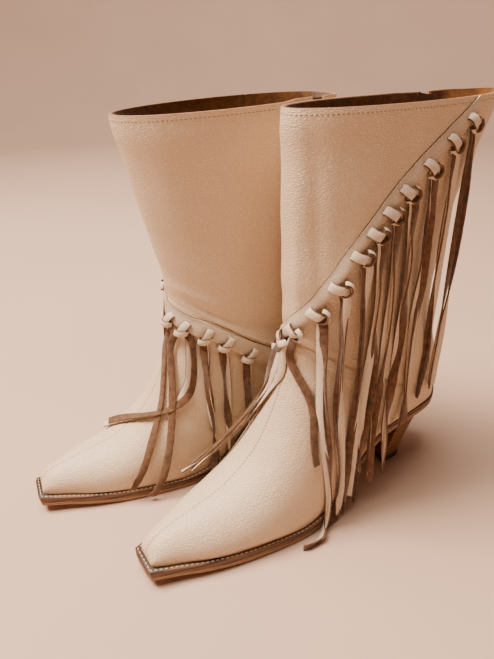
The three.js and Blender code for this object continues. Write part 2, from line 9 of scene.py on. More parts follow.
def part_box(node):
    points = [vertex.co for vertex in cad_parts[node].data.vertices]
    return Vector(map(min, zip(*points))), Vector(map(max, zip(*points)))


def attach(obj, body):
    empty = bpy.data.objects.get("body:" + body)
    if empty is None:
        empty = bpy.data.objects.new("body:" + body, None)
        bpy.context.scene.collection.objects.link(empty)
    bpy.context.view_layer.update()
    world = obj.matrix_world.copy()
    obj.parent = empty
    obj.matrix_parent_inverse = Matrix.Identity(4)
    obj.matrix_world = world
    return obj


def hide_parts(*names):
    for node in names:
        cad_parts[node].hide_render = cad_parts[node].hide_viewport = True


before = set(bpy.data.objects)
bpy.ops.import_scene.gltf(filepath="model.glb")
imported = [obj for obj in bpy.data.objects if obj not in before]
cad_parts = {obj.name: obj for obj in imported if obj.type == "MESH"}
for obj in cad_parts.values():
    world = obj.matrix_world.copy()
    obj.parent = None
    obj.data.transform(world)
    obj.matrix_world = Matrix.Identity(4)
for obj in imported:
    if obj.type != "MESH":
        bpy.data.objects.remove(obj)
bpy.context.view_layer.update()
bpy.ops.object.select_all(action="DESELECT")

# ---------------------------------------------------------------- camera
# A phone held a little above the pair, in front and to the wearer's left. Each boot's own axes are
# placed from its heel screw, which stands 20 mm in front of the back of the heel seat.
SCREW_FROM_BACK = 20.0
TURN = {"left": 0.0, "right": math.radians(-7.15)}


def boot_origin(name):
    low, high = (np.array(corner) * 1000 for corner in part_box(f"{name}_heel_screw"))
    middle = (low + high) / 2
    turn = TURN[name]
    x = middle[0] - SCREW_FROM_BACK * math.sin(turn)
    return np.array([x, middle[1] + SCREW_FROM_BACK * math.cos(turn), 0])


ORIGIN = {name: boot_origin(name) for name in TURN}
AZIMUTH, ELEVATION, ROLL = (math.radians(angle) for angle in (56.93, 27.67, -1.17))
LENS = 28.09
EYE = Vector((0.24605, -0.34858, 0.32391)) + Vector(ORIGIN["left"] / 1000)
level = math.cos(ELEVATION)
ahead = Vector((-math.sin(AZIMUTH) * level, math.cos(AZIMUTH) * level, -math.sin(ELEVATION)))
right_hand = Vector((math.cos(AZIMUTH), math.sin(AZIMUTH), 0))
overhead = right_hand.cross(ahead)
across = right_hand * math.cos(ROLL) + overhead * math.sin(ROLL)
upward = overhead * math.cos(ROLL) - right_hand * math.sin(ROLL)
camera_data = bpy.data.cameras.new("camera")
camera_data.sensor_fit = "VERTICAL"
camera_data.sensor_height = 36
camera_data.lens = LENS
camera_data.clip_start = 0.01
camera = bpy.data.objects.new("camera", camera_data)
bpy.context.collection.objects.link(camera)
turned = Matrix((across, upward, -ahead)).transposed().to_4x4()
camera.matrix_world = Matrix.Translation(EYE) @ turned
bpy.context.scene.camera = camera


# ---------------------------------------------------------------- floor and light
# A seamless sweep of matt pink-beige paper, curved up all round, under soft light from above. It is
# lit by two square softboxes over the toes and a third on the paper behind.
def colour(text):
    parts = [int(text[i:i + 2], 16) / 255 for i in (0, 2, 4)]
    linear = [c / 12.92 if c <= 0.04045 else ((c + 0.055) / 1.055) ** 2.4 for c in parts]
    return (*linear, 1.0)


def add_node(material, kind, inputs=None, **settings):
    new = material.node_tree.nodes.new(kind)
    for key, value in settings.items():
        setattr(new, key, value)
    for key, value in (inputs or {}).items():
        if isinstance(value, bpy.types.NodeSocket):
            material.node_tree.links.new(value, new.inputs[key])
        else:
            new.inputs[key].default_value = value
    return new


def new_material(name, roughness, **sockets):
    material = bpy.data.materials.new(name)
    material.use_nodes = True
    shader = material.node_tree.nodes["Principled BSDF"]
    shader.inputs["Roughness"].default_value = roughness
    for key, value in sockets.items():
        shader.inputs[key.replace("_", " ")].default_value = value
    place = add_node(material, "ShaderNodeTexCoord").outputs["Object"]
    return material, shader, place


def ramp(material, source, stops):
    new = add_node(material, "ShaderNodeValToRGB", {0: source})
    band = new.color_ramp
    while len(band.elements) < len(stops):
        band.elements.new(0.5)
    for element, (position, tint) in zip(band.elements, stops):
        element.position = position
        element.color = colour(tint)
    return new.outputs["Color"]


def set_bump(material, shader, height, distance_mm):
    link = {"Height": height, "Distance": distance_mm / 1000, "Strength": 1.0}
    bump = add_node(material, "ShaderNodeBump", link)
    material.node_tree.links.new(bump.outputs["Normal"], shader.inputs["Normal"])


# A material of two tints mottled together, with the same mottling as its relief.
def mottled(name, roughness, per_metre, detail, tints, relief_mm=0.0, **sockets):
    material, shader, place = new_material(name, roughness, **sockets)
    noise = add_node(material, "ShaderNodeTexNoise", {"Vector": place, "Scale": per_metre, "Detail": detail})
    tint = ramp(material, noise.outputs["Fac"], tints)
    material.node_tree.links.new(tint, shader.inputs["Base Color"])
    if relief_mm:
        set_bump(material, shader, noise.outputs["Fac"], relief_mm)
    return material


paper = mottled("matt_paper", 0.9, 2.5, 3.0, [(0.3, "c4a590"), (0.7, "c8aa96")])
FLAT_REACH, BEND_RADIUS, WALL_TOP, TURNS_ROUND = 2.2, 1.1, 2.0, 96
bend = np.linspace(0, math.pi / 2, 24)
bowl = [(FLAT_REACH + BEND_RADIUS * math.sin(a), BEND_RADIUS * (1 - math.cos(a))) for a in bend]
bowl.append((FLAT_REACH + BEND_RADIUS, WALL_TOP))
sweep_round = np.arange(TURNS_ROUND) * 2 * math.pi / TURNS_ROUND
bowl_points = [(r * math.cos(a), r * math.sin(a), z) for r, z in bowl for a in sweep_round]
bowl_faces = [
    (i * TURNS_ROUND + k, (i + 1) * TURNS_ROUND + k,
     (i + 1) * TURNS_ROUND + (k + 1) % TURNS_ROUND, i * TURNS_ROUND + (k + 1) % TURNS_ROUND)
    for i in range(len(bowl) - 1) for k in range(TURNS_ROUND)
]
floor_mesh = bpy.data.meshes.new("floor")
floor_mesh.from_pydata(bowl_points, [], [tuple(range(TURNS_ROUND)), *bowl_faces])
floor_mesh.polygons.foreach_set("use_smooth", [True] * len(floor_mesh.polygons))
floor_mesh.materials.append(paper)
floor = bpy.data.objects.new("floor", floor_mesh)
bpy.context.collection.objects.link(floor)
world = bpy.data.worlds.new("soft_room")
world.use_nodes = True
world.node_tree.nodes["Background"].inputs["Color"].default_value = colour("ecd2c2")
world.node_tree.nodes["Background"].inputs["Strength"].default_value = 0.12
bpy.context.scene.world = world


def add_lamp(name, at, size, watts, tint, aim=(0, 0, 0.12)):
    data = bpy.data.lights.new(name, "AREA")
    data.size = size
    data.energy = watts
    data.color = colour(tint)[:3]
    lamp = bpy.data.objects.new(name, data)
    bpy.context.collection.objects.link(lamp)
    lamp.location = at
    lamp.rotation_euler = (Vector(aim) - Vector(at)).to_track_quat("-Z", "Y").to_euler()


add_lamp("window", (-0.5, -0.8, 1.7), 0.7, 78, "ffeedb")
add_lamp("ceiling", (-0.15, -0.2, 1.9), 1.0, 50, "ffeedd")
add_lamp("backdrop", (-0.9, 0.6, 2.3), 1.2, 45, "fff2ea", (-2.9, 1.9, 0.9))

# ---------------------------------------------------------------- last
# The shape every leather is pulled over: a snip-toed western last and a leg form. Rows run from the
# toe to the rim, each from the front ridge to the feather line or the back seam: front y and z, end y
# and z, half-width, how far along the widest place is, half-width at the end. Millimetres, heel at 0.
FOOT_ROWS = [
    (-276.5, 16.6, -276.5, 16, 7, 0.5, 6.9), (-275.5, 23, -275.5, 15.8, 9.5, 0.6, 9.2),
    (-270, 30, -270, 15.3, 12.5, 0.7, 11.7), (-258, 34.5, -258, 14, 17, 0.75, 16),
    (-236, 40.5, -238, 12, 25.5, 0.75, 23.5), (-212, 47.5, -215, 10, 32, 0.75, 29.5),
    (-190, 62.5, -190, 9, 36.5, 0.75, 34), (-174, 83.5, -160, 9, 39, 0.78, 37),
    (-165, 103, -130, 15, 37.5, 0.75, 33.5), (-159.5, 119, -103, 34, 36, 0.7, 28),
    (-156.5, 132, -76, 53.5, 35.5, 0.65, 26.5), (-155, 144, -45, 62, 36, 0.6, 28.5),
    (-154.5, 150, -20, 64, 36.5, 0.55, 26), (-154.5, 155, -6, 65.1, 37, 0.5, 18),
    (-154.5, 159, 0.5, 65.6, 37, 0.48, 9.5), (-154.5, 163, 2.8, 67, 37, 0.48, 0.15),
]
LEG_ROWS = {
    "left": [
        (-155, 172, 3, 88, 37, 0.48, 0.15), (-155.5, 185, -8.5, 116, 37, 0.5, 0.15),
        (-156, 200, -20, 152, 36.5, 0.48, 0.15), (-157, 222, -18, 188, 35, 0.47, 0.15),
        (-158, 248, -8, 224, 34.5, 0.47, 0.15), (-159, 272, 6, 257, 34, 0.46, 0.15),
        (-160, 289, 22, 284, 33.5, 0.44, 0.15), (-160, 300, 30, 302, 33, 0.42, 0.15),
    ],
    "right": [
        (-155.5, 172, 3, 88, 37, 0.48, 0.15), (-157.5, 185, -8, 116, 37.5, 0.5, 0.15),
        (-161, 200, -15, 152, 38.5, 0.5, 0.15), (-166, 220, -16, 188, 40.5, 0.5, 0.15),
        (-171, 244, -17, 224, 43, 0.5, 0.15), (-176, 266, -19, 258, 45.5, 0.5, 0.15),
        (-180, 282, -21, 286, 47.5, 0.5, 0.15), (-182, 294, -22, 302, 48, 0.5, 0.15),
    ],
}
SEAT_ROW = 15
TOP_ROW = 23
LEATHER = 2.0
ZIP_BOTTOM = 100.0
ZIP_FOOT = -46.0
ZIP_BACK = {"left": 44.0, "right": 22.0}
ZIP_TOP = 300.0
rows_of = {name: np.array(FOOT_ROWS + LEG_ROWS[name], float) for name in TURN}
lateral = {"left": 1.0, "right": -1.0}


def spline(p0, p1, p2, p3, t):
    bend = 2 * p0 - 5 * p1 + 4 * p2 - p3
    twist = 3 * p1 - p0 - 3 * p2 + p3
    return 0.5 * (2 * p1 + (p2 - p0) * t + bend * t * t + twist * t ** 3)


def row_values(name, row):
    rows = rows_of[name]
    last = len(rows) - 1
    at = np.clip(row, 0, last)
    i = np.minimum(np.floor(at).astype(int), last - 1)
    t = (at - i)[..., None]
    return spline(rows[np.maximum(i - 1, 0)], rows[i], rows[i + 1], rows[np.minimum(i + 2, last)], t)


def smooth(t):
    c = np.clip(t, 0, 1)
    return c * c * (3 - 2 * c)


def mix(a, b, t):
    return a + (b - a) * t


# "around" is -1 at the back seam, past the lateral side to 0 on the front ridge, to +1 at the back.
def form(name, row, around):
    row, around = np.broadcast_arrays(np.asarray(row, float), np.asarray(around, float))
    front_y, front_z, end_y, end_z, half, widest, reach = np.moveaxis(row_values(name, row), -1, 0)
    end_half = np.maximum(reach, 0.15)
    side = np.abs(around)
    sweep = np.sin((side - 0.5) * np.pi)
    fore = side < 0.5
    along = np.where(fore, widest * (1 - np.cos(side * np.pi)), widest + (1 - widest) * sweep)
    drawn_in = np.sqrt(np.maximum(1 - sweep ** 2 * (1 - (end_half / half) ** 2), 0))
    width = half * np.where(fore, np.sin(side * np.pi), drawn_in)
    x = lateral[name] * width * np.where(around > 0, -1, 1)
    return np.stack([x, mix(front_y, end_y, along), mix(front_z, end_z, along)], -1)


def on_form(name, y, z):
    rows, arounds = np.meshgrid(np.linspace(10, TOP_ROW, 700), np.linspace(0.4, 1, 500), indexing="ij")
    points = form(name, rows, arounds)
    nearest = np.argmin((points[..., 1] - y) ** 2 + (points[..., 2] - z) ** 2)
    return points.reshape(-1, 3)[nearest]


zip_low = {name: on_form(name, ZIP_FOOT, ZIP_BOTTOM) for name in TURN}
zip_high = {
    name: on_form(name, form(name, TOP_ROW, 1)[1] - ZIP_BACK[name], ZIP_TOP) for name in TURN
}


def zip_line(name, z):
    share = (z - zip_low[name][2]) / (zip_high[name][2] - zip_low[name][2])
    return mix(zip_low[name], zip_high[name], np.asarray(share)[..., None])


def pulled(name, row, around):
    p = form(name, row, around)
    line = zip_line(name, p[..., 2])
    near = 1 - smooth((np.abs(p[..., 1] - line[..., 1]) - 12) / 22)
    reach = smooth((p[..., 2] - zip_low[name][2] + 6) / 16)
    near_seam = smooth((1 - np.asarray(around)) / 0.12)
    held = np.where(np.asarray(around) > 0.3, near * reach * near_seam, 0)
    p[..., 0] = mix(p[..., 0], line[..., 0], held)
    return p


# Soft folds of worn leather: (around, row, half-width around, half-length in rows, height in mm, slant).
FOLDS = {
    "left": [
        (-0.17, 19.5, 0.035, 2.6, -1.1, 0.01), (-0.3, 18.2, 0.05, 2.2, 0.9, -0.02),
        (-0.45, 20.5, 0.05, 2.4, -1.0, 0.01), (-0.07, 18.0, 0.03, 2.0, 0.7, 0.0),
        (-0.2, 12.4, 0.22, 0.22, -1.2, 0.0), (-0.3, 11.2, 0.2, 0.25, 0.9, 0.0),
        (-0.42, 12.6, 0.14, 0.2, -1.1, 0.0), (0.12, 11.4, 0.12, 0.25, -0.8, 0.0),
        (-0.25, 9.4, 0.12, 0.3, -0.8, 0.0), (-0.12, 8.6, 0.1, 0.3, 0.6, 0.0),
    ],
    "right": [
        (0.3, 15.4, 0.16, 0.3, -1.3, 0.0), (0.42, 14.7, 0.15, 0.25, 0.9, 0.0),
        (0.2, 16.2, 0.12, 0.28, 0.8, 0.0), (0.5, 15.9, 0.12, 0.3, -1.0, 0.0),
        (0.34, 13.6, 0.12, 0.25, -1.1, 0.0), (0.3, 12.1, 0.16, 0.2, 1.0, 0.0),
        (0.42, 11.2, 0.12, 0.2, -1.1, 0.0), (0.22, 10.6, 0.12, 0.2, -0.8, 0.0),
        (0.5, 19.5, 0.05, 2.5, -0.9, 0.01), (0.22, 20.5, 0.06, 2.0, 0.7, 0.0),
    ],
}


FOLD_GAIN = 1.45


def fold(name, row, around):
    row, around = np.broadcast_arrays(np.asarray(row, float), np.asarray(around, float))
    total = 0.35 * np.sin(9 * around + 1.7 * row) * np.sin(1.3 * row - 5 * around)
    for centre, middle, wide, long, height, slant in FOLDS[name]:
        off = (around - centre - slant * (row - middle)) / wide
        total = total + height * np.exp(-off ** 2 - ((row - middle) / long) ** 2)
    fade = smooth(row / 6) * smooth((1 - np.abs(around)) / 0.06)
    return total * FOLD_GAIN * fade


def frame_at(name, row, around):
    row, around = np.broadcast_arrays(np.asarray(row, float), np.asarray(around, float))
    step = 0.006
    a0 = np.clip(around - step, -1, 1 - 2 * step)
    a1 = np.clip(around + step, -1 + 2 * step, 1)
    sideways = pulled(name, row, a1) - pulled(name, row, a0)
    up = pulled(name, np.minimum(row + 0.05, TOP_ROW), around)
    up = up - pulled(name, np.maximum(row - 0.05, 0), around)
    normal = np.cross(sideways, up) * -lateral[name]
    normal /= np.linalg.norm(normal, axis=-1, keepdims=True)
    return normal, sideways / np.linalg.norm(sideways, axis=-1, keepdims=True)


def skin(name, row, around, out=0.0):
    normal, _ = frame_at(name, row, around)
    return pulled(name, row, around) + normal * (fold(name, row, around) + out)[..., None]


# Height of the slanting band's middle line, from the medial back seam over the front to the rim.
BAND_LINE = [
    (1, 74), (0.85, 77), (0.7, 86), (0.55, 100), (0.42, 115), (0.34, 127), (0.26, 136), (0.16, 143),
    (0.08, 149), (0, 156), (-0.07, 165), (-0.14, 175), (-0.23, 193), (-0.31, 213), (-0.4, 237),
    (-0.46, 251), (-0.52, 265), (-0.58, 278), (-0.63, 288), (-0.66, 294),
]
BAND_END = -0.66
BAND_WIDTH = 13.5
band_arounds, band_heights = np.array(BAND_LINE[::-1], float).T


def row_at(name, around, z):
    ladder = np.linspace(7, TOP_ROW, 400)
    flat = [
        np.interp(height, pulled(name, ladder, one)[:, 2], ladder)
        for one, height in zip(np.ravel(around), np.ravel(z))
    ]
    return np.reshape(flat, np.shape(around))


BAND_RISE_AT = (-0.66, -0.3, -0.1, 0.0, 0.1, 0.3, 0.6)
BAND_RISE = {"left": (1.5, 3.5, 4.5, 5, 3, 0, 0), "right": (0, 0, -4, -5, -1, 2, 0)}


def band_row(name, around, above=0.0):
    around, above = np.broadcast_arrays(np.asarray(around, float), np.asarray(above, float))
    rise = np.interp(around, BAND_RISE_AT, BAND_RISE[name])
    return row_at(name, around, np.interp(around, band_arounds, band_heights) + rise + above)


def around_of_zip(name, row, aside):
    ladder = np.linspace(0.4, 1, 240)
    flat = []
    for one in np.ravel(row):
        p = pulled(name, one, ladder)
        flat.append(np.interp(aside, p[:, 1] - zip_line(name, p[:, 2])[:, 1], ladder))
    return np.reshape(flat, np.shape(row))


# ---------------------------------------------------------------- uppers
# Four panels of milled cowhide, 2 mm thick, drum-dyed bone on the grain side and left as brown suede
# behind. Each is cut with raw edges, lasted under the welt and closed along the band, the vamp and zip.
ZIP_ASIDE = 4.6


def to_world(name, points):
    turn = TURN[name]
    x, y, z = np.moveaxis(np.asarray(points, float), -1, 0)
    c, s = math.cos(turn), math.sin(turn)
    return np.stack([c * x - s * y, s * x + c * y, z], -1) + ORIGIN[name]


def make_piece(name, points, faces, materials, slots=None, crease=50):
    points = np.asarray(points, float) / 1000
    mesh = bpy.data.meshes.new(name)
    mesh.from_pydata(points.tolist(), [], [list(map(int, face)) for face in faces])
    for material in materials:
        mesh.materials.append(material)
    if slots is not None:
        mesh.polygons.foreach_set("material_index", np.asarray(slots, np.int32))
    mesh.polygons.foreach_set("use_smooth", np.ones(len(mesh.polygons), bool))
    mesh.set_sharp_from_angle(angle=math.radians(crease))
    mesh.update()
    piece = bpy.data.objects.new(name, mesh)
    bpy.context.collection.objects.link(piece)
    return piece


def outward(points, faces):
    p = np.asarray(points, float)
    six = 0.0
    for face in faces:
        a = p[face[0]]
        for i in range(1, len(face) - 1):
            six += np.dot(a, np.cross(p[face[i]], p[face[i + 1]]))
    return faces if six > 0 else [face[::-1] for face in faces]


# Faces of rings of points in a row, closed at both ends.
def ring_faces(rings, sides):
    faces = [
        [i * sides + k, i * sides + (k + 1) % sides, (i + 1) * sides + (k + 1) % sides, (i + 1) * sides + k]
        for i in range(rings - 1) for k in range(sides)
    ]
    last = (rings - 1) * sides
    return faces + [list(range(sides))[::-1], [last + k for k in range(sides)]]


def merged(meshes):
    points, faces = [], []
    base = 0
    for mesh_points, mesh_faces in meshes:
        points.append(mesh_points)
        faces += [[base + k for k in face] for face in mesh_faces]
        base += len(mesh_points)
    return np.concatenate(points), faces


# A closed sheet between two grids of points; slots 0 the grain side, 1 the flesh side, 2 the cut edges.
def sheet_mesh(outer, inner):
    rows, columns = outer.shape[:2]
    points = np.concatenate([outer.reshape(-1, 3), inner.reshape(-1, 3)])
    under = rows * columns
    faces, slots = [], []
    for i in range(rows - 1):
        for j in range(columns - 1):
            a, b = i * columns + j, (i + 1) * columns + j
            faces += [[a, b, b + 1, a + 1], [under + a, under + a + 1, under + b + 1, under + b]]
            slots += [0, 1]
    border = [(i * columns, (i + 1) * columns) for i in range(rows - 1)]
    border += [((rows - 1) * columns + j, (rows - 1) * columns + j + 1) for j in range(columns - 1)]
    border += [((i + 1) * columns - 1, i * columns - 1) for i in range(rows - 1, 0, -1)]
    border += [(j, j - 1) for j in range(columns - 1, 0, -1)]
    for a, b in border:
        faces.append([a, under + a, under + b, b])
        slots.append(2)
    return points, outward(points, faces), slots


# Milled leather: tumbled until it wrinkles into flat pebbles 1.2 to 2.5 mm across, wider than high, with
# finer creases between, so it shines softly on their tops.
def pebbled(name, tints, pebble_mm, depth_mm, roughness):
    material, shader, place = new_material(name, roughness, Specular_IOR_Level=0.42)
    drift = add_node(material, "ShaderNodeTexNoise", {"Vector": place, "Scale": 260.0, "Detail": 2.0})
    stretch = add_node(material, "ShaderNodeMapping", {"Vector": place, "Scale": (1.0, 1.0, 1.5)})
    shaken = add_node(material, "ShaderNodeMixRGB", {"Fac": 0.0016, "Color1": stretch.outputs[0],
                                                     "Color2": drift.outputs["Color"]}, blend_type="ADD")
    cells = add_node(material, "ShaderNodeTexVoronoi", {"Vector": shaken.outputs[0],
                     "Scale": 1000 / pebble_mm}, feature="DISTANCE_TO_EDGE")
    domes = add_node(material, "ShaderNodeMapRange", {"Value": cells.outputs["Distance"],
                     "From Max": 0.35}, interpolation_type="SMOOTHERSTEP")
    creases = add_node(material, "ShaderNodeTexNoise", {"Vector": place, "Scale": 900.0, "Detail": 4.0})
    wrinkles = add_node(material, "ShaderNodeTexNoise", {"Vector": place, "Scale": 95.0, "Detail": 3.0,
                        "Distortion": 0.6})
    fine = add_node(material, "ShaderNodeMath", {0: domes.outputs[0], 1: creases.outputs["Fac"]},
                    operation="ADD")
    height = add_node(material, "ShaderNodeMath", {0: wrinkles.outputs["Fac"], 1: 2.2, 2: fine.outputs[0]},
                      operation="MULTIPLY_ADD")
    set_bump(material, shader, height.outputs[0], depth_mm)
    patches = add_node(material, "ShaderNodeTexNoise", {"Vector": place, "Scale": 26.0, "Detail": 4.0})
    tint = ramp(material, patches.outputs["Fac"], [(0.3, tints[0]), (0.68, tints[1])])
    # The valleys between the pebbles take the third, darker tint: painted shade in the creases.
    crease_shade = add_node(material, "ShaderNodeMixRGB", {"Fac": domes.outputs[0], "Color1": colour(tints[2]),
                      "Color2": tint})
    material.node_tree.links.new(crease_shade.outputs[0], shader.inputs["Base Color"])
    return material


# Flesh side: the split fibres stand up, so it has no shine and shows a short brown nap.
def suede(name, tints):
    material, shader, place = new_material(name, 0.95, Sheen_Weight=0.35, Sheen_Roughness=0.5,
                                           Specular_IOR_Level=0.2)
    nap = add_node(material, "ShaderNodeTexNoise", {"Vector": place, "Scale": 1600.0, "Detail": 3.0})
    mottle = add_node(material, "ShaderNodeTexNoise", {"Vector": place, "Scale": 240.0, "Detail": 4.0})
    both = add_node(material, "ShaderNodeMath", {0: nap.outputs["Fac"], 1: 0.5, 2: mottle.outputs["Fac"]},
                    operation="MULTIPLY_ADD")
    tint = ramp(material, both.outputs[0], [(0.5, tints[0]), (0.9, tints[1])])
    material.node_tree.links.new(tint, shader.inputs["Base Color"])
    set_bump(material, shader, both.outputs[0], 0.35)
    return material


bone_leather = pebbled("milled_bone_cowhide", ("e0c6aa", "e9d1b5", "d6bd9f"), 2.3, 0.2, 0.46)
brown_suede = suede("brown_flesh_side", ("48301d", "735138"))
cut_edge = suede("raw_cut_edge", ("7a5038", "a67a5c"))
UPPER_MATERIALS = [bone_leather, brown_suede, cut_edge]


# A closed sheet of one thickness on the form, its outer face "out" from the skin.
def on_form_sheet(name, rows, arounds, out, thick):
    outer = to_world(name, skin(name, rows, arounds, out))
    return sheet_mesh(outer, to_world(name, skin(name, rows, arounds, out - thick)))


SEAM_DIP, SEAM_HALF, SEAM_TOP_ROW = -0.5, 0.008, 11.5


def panel(name, part, rows, arounds, node):
    dip = SEAM_DIP * np.exp(-(np.abs(arounds) / SEAM_HALF) ** 2) * (rows < SEAM_TOP_ROW)
    points, faces, slots = on_form_sheet(name, rows, arounds, dip, LEATHER)
    piece = make_piece(f"{name}_{part}_leather", points, faces, UPPER_MATERIALS, slots)
    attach(piece, f"{name}_boot")
    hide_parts(f"{name}_{node}")


# A panel of the shaft, from the band's joint to the rim and from one fixed edge to beside the zip.
def shaft_panel(name, part, columns, fixed, aside):
    v = np.linspace(0, 1, columns)
    front = aside < 0

    def spread(zip_edge, shares):
        return mix(fixed, zip_edge, shares) if front else mix(zip_edge, fixed, shares)

    start = spread(ZIP_START, v)
    for _ in range(SEARCH_ROUNDS):
        start = spread(around_of_zip(name, band_row(name, start), aside), v)
    u = np.linspace(0, 1, PANEL_ROWS)[:, None]
    rows = mix(band_row(name, start)[None, :], TOP_ROW, u)
    beside = rows[:, -1 if front else 0]
    edge = np.interp(rows, beside, around_of_zip(name, beside, aside))
    panel(name, part, rows, mix(start[None, :], spread(edge, v[None, :]), smooth(u * 6)), part)


PANEL_ROWS, PANEL_COLUMNS, BACK_COLUMNS = 150, 90, 34
ZIP_START, SEARCH_ROUNDS = 0.8, 25
for name in TURN:
    u = np.linspace(0, 1, PANEL_ROWS)[:, None]
    arounds = -np.linspace(0, 1, PANEL_COLUMNS)[None, :]
    ends = np.where(arounds > BAND_END, band_row(name, np.maximum(arounds, BAND_END)), TOP_ROW)
    to_rim = smooth((BAND_END + 0.012 - arounds) / 0.024)
    panel(name, "lateral_vamp", u * mix(ends, TOP_ROW, to_rim), arounds + 0 * u, "lower_lateral")
    arounds = np.linspace(0, 1, PANEL_COLUMNS)[None, :]
    panel(name, "medial_vamp", u * band_row(name, arounds), arounds + 0 * u, "lower_medial")
    shaft_panel(name, "shaft_front", PANEL_COLUMNS, BAND_END, -ZIP_ASIDE)
    shaft_panel(name, "shaft_back", BACK_COLUMNS, 1.0, ZIP_ASIDE)

# ---------------------------------------------------------------- seams
# Waxed thread, 0.5 mm thick and gone grey-brown, lockstitched about eight to the inch round the rim,
# down the vamp's centre seam and beside the zip; a thin dark cord along the shaft's edge on the band is
# painted shadow of that edge.
STITCH_PITCH, STITCH_LENGTH, STITCH_RADIUS = 2.9, 1.9, 0.24
STITCH_SIDES = 6


def turn_only(name, vectors):
    return to_world(name, vectors) - ORIGIN[name]


def resample(points, step):
    points = np.asarray(points, float)
    far = np.concatenate([[0], np.cumsum(np.linalg.norm(np.diff(points, axis=0), axis=1))])
    count = max(int(round(far[-1] / step)), 2)
    at = np.linspace(0, far[-1], count + 1)
    return np.stack([np.interp(at, far, points[:, k]) for k in range(points.shape[1])], -1)


def unit(vectors):
    return vectors / np.maximum(np.linalg.norm(vectors, axis=-1, keepdims=True), 1e-9)


def add_beads(units, name, body, material, replaced=()):
    piece = make_piece(name, *merged(units), [material])
    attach(piece, body)
    if replaced:
        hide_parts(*replaced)
    return piece


# One stitch: a short round bead pinched at both ends where the thread goes through.
def stitch(centre, along, out, length, radius):
    aside = np.cross(out, along)
    points = []
    for share, swell, sink in ((-0.5, 0.45, -0.7), (-0.25, 1, 0), (0.25, 1, 0), (0.5, 0.45, -0.7)):
        for k in range(STITCH_SIDES):
            turn = k * 2 * math.pi / STITCH_SIDES
            ring = aside * math.cos(turn) + out * math.sin(turn)
            points.append(centre + along * length * share + out * radius * sink + ring * radius * swell)
    points = np.array(points)
    return points, outward(points, ring_faces(4, STITCH_SIDES))


def stitch_run(path, normals, pitch=STITCH_PITCH, length=STITCH_LENGTH, radius=STITCH_RADIUS):
    both = resample(np.concatenate([path, normals], 1), 1.0)
    far = np.concatenate([[0], np.cumsum(np.linalg.norm(np.diff(both[:, :3], axis=0), axis=1))])
    at = np.arange(pitch / 2, far[-1], pitch)
    places = np.stack([np.interp(at, far, both[:, k]) for k in range(6)], -1)
    spots = both[:, :3].T
    runs = unit(np.stack([np.interp(at + 0.5, far, s) - np.interp(at - 0.5, far, s) for s in spots], -1))
    return [stitch(p[:3], run, unit(p[3:]), length, radius) for p, run in zip(places, runs)]


def on_skin(name, rows, arounds, out):
    rows, arounds = np.broadcast_arrays(np.asarray(rows, float), np.asarray(arounds, float))
    path = to_world(name, skin(name, rows, arounds, out + 0 * rows))
    return path, turn_only(name, frame_at(name, rows, arounds)[0])


thread = mottled("waxed_thread", 0.6, 1400.0, 2.0, [(0.35, "6a584c"), (0.7, "94826f")])
# A dark cord laid along the band's top edge: painted shadow of the shaft's edge over the band.
painted_seam_shadow = suede("seam_shadow_line", ("4a3326", "6a4d3c"))


# A round cord along a path, closed at both ends.
def tube(path, radius, sides=6):
    path = np.asarray(path, float)
    run = unit(np.gradient(path, axis=0))
    aside = unit(np.cross(run, [0.05, 0.02, 1.0]))
    over = np.cross(aside, run)
    turns = np.arange(sides) * 2 * math.pi / sides
    round_path = aside[:, None] * np.cos(turns)[:, None] + over[:, None] * np.sin(turns)[:, None]
    points = (path[:, None] + radius * round_path).reshape(-1, 3)
    return points, outward(points, ring_faces(len(path), sides))


for name in TURN:
    units = []
    edge = float(around_of_zip(name, TOP_ROW, 0))
    gap = 0.04
    for low, high in ((-1, edge - gap), (edge + gap, 1)):
        arounds = np.linspace(low, high, 160)
        rims = pulled(name, TOP_ROW + 0 * arounds, arounds)[:, 2]
        units += stitch_run(*on_skin(name, row_at(name, arounds, rims - 3.4), arounds, 0.0))
    rows = np.linspace(1.0, float(band_row(name, 0.0)) - 0.25, 120)
    half = row_values(name, rows)[:, 4]
    beside = np.arcsin(1.1 / half) / math.pi
    units += stitch_run(*on_skin(name, rows, beside, 0.0), pitch=2.8, length=1.9, radius=0.24)
    for aside in (-ZIP_ASIDE - 2.2, ZIP_ASIDE + 2.2):
        rows = np.linspace(float(band_row(name, 0.8)) + 1.2, TOP_ROW - 0.3, 90)
        units += stitch_run(*on_skin(name, rows, around_of_zip(name, rows, aside), 0.0))
    add_beads(units, f"{name}_upper_stitches", f"{name}_boot", thread)
    lines = []
    for low, high in ((BAND_END + 0.01, 0.0), (0.0, 0.985)):
        arounds = np.linspace(low, high, 170)
        path, _ = on_skin(name, band_row(name, arounds, BAND_WIDTH / 2 + 0.25), arounds, 0.15)
        lines.append(tube(path, 0.3))
    add_beads(lines, f"{name}_band_seam_shadow_line", f"{name}_boot", painted_seam_shadow)

# ---------------------------------------------------------------- band
# A 13.5 mm strap of the same hide, shaved thinner and pressed flat, sewn over the joint between shaft and
# vamp. Its top edge is tucked under the shaft's; the lower edge is cut clean and stands off the vamp.
band_leather = pebbled("pressed_band_cowhide", ("d2bda8", "dfccb8", "c6b098"), 1.5, 0.12, 0.55)
# The band's cut edges are painted pale: a painted highlight on the lower edge that stands off the vamp.
highlit_pale_edge = suede("highlit_cut_edge", ("cdb094", "e6d2bb"))
BAND_SHARES = np.array([0, 0.03, 0.1, 0.25, 0.5, 0.75, 0.9, 0.97, 1.0])
BAND_STAND = 2.7
BAND_THICK = 1.3


def band_out(share):
    rounding = 0.3 * np.exp(-(share / 0.05) ** 2)
    return mix(BAND_STAND, 0.9, smooth((share - 0.3) / 0.7)) - rounding


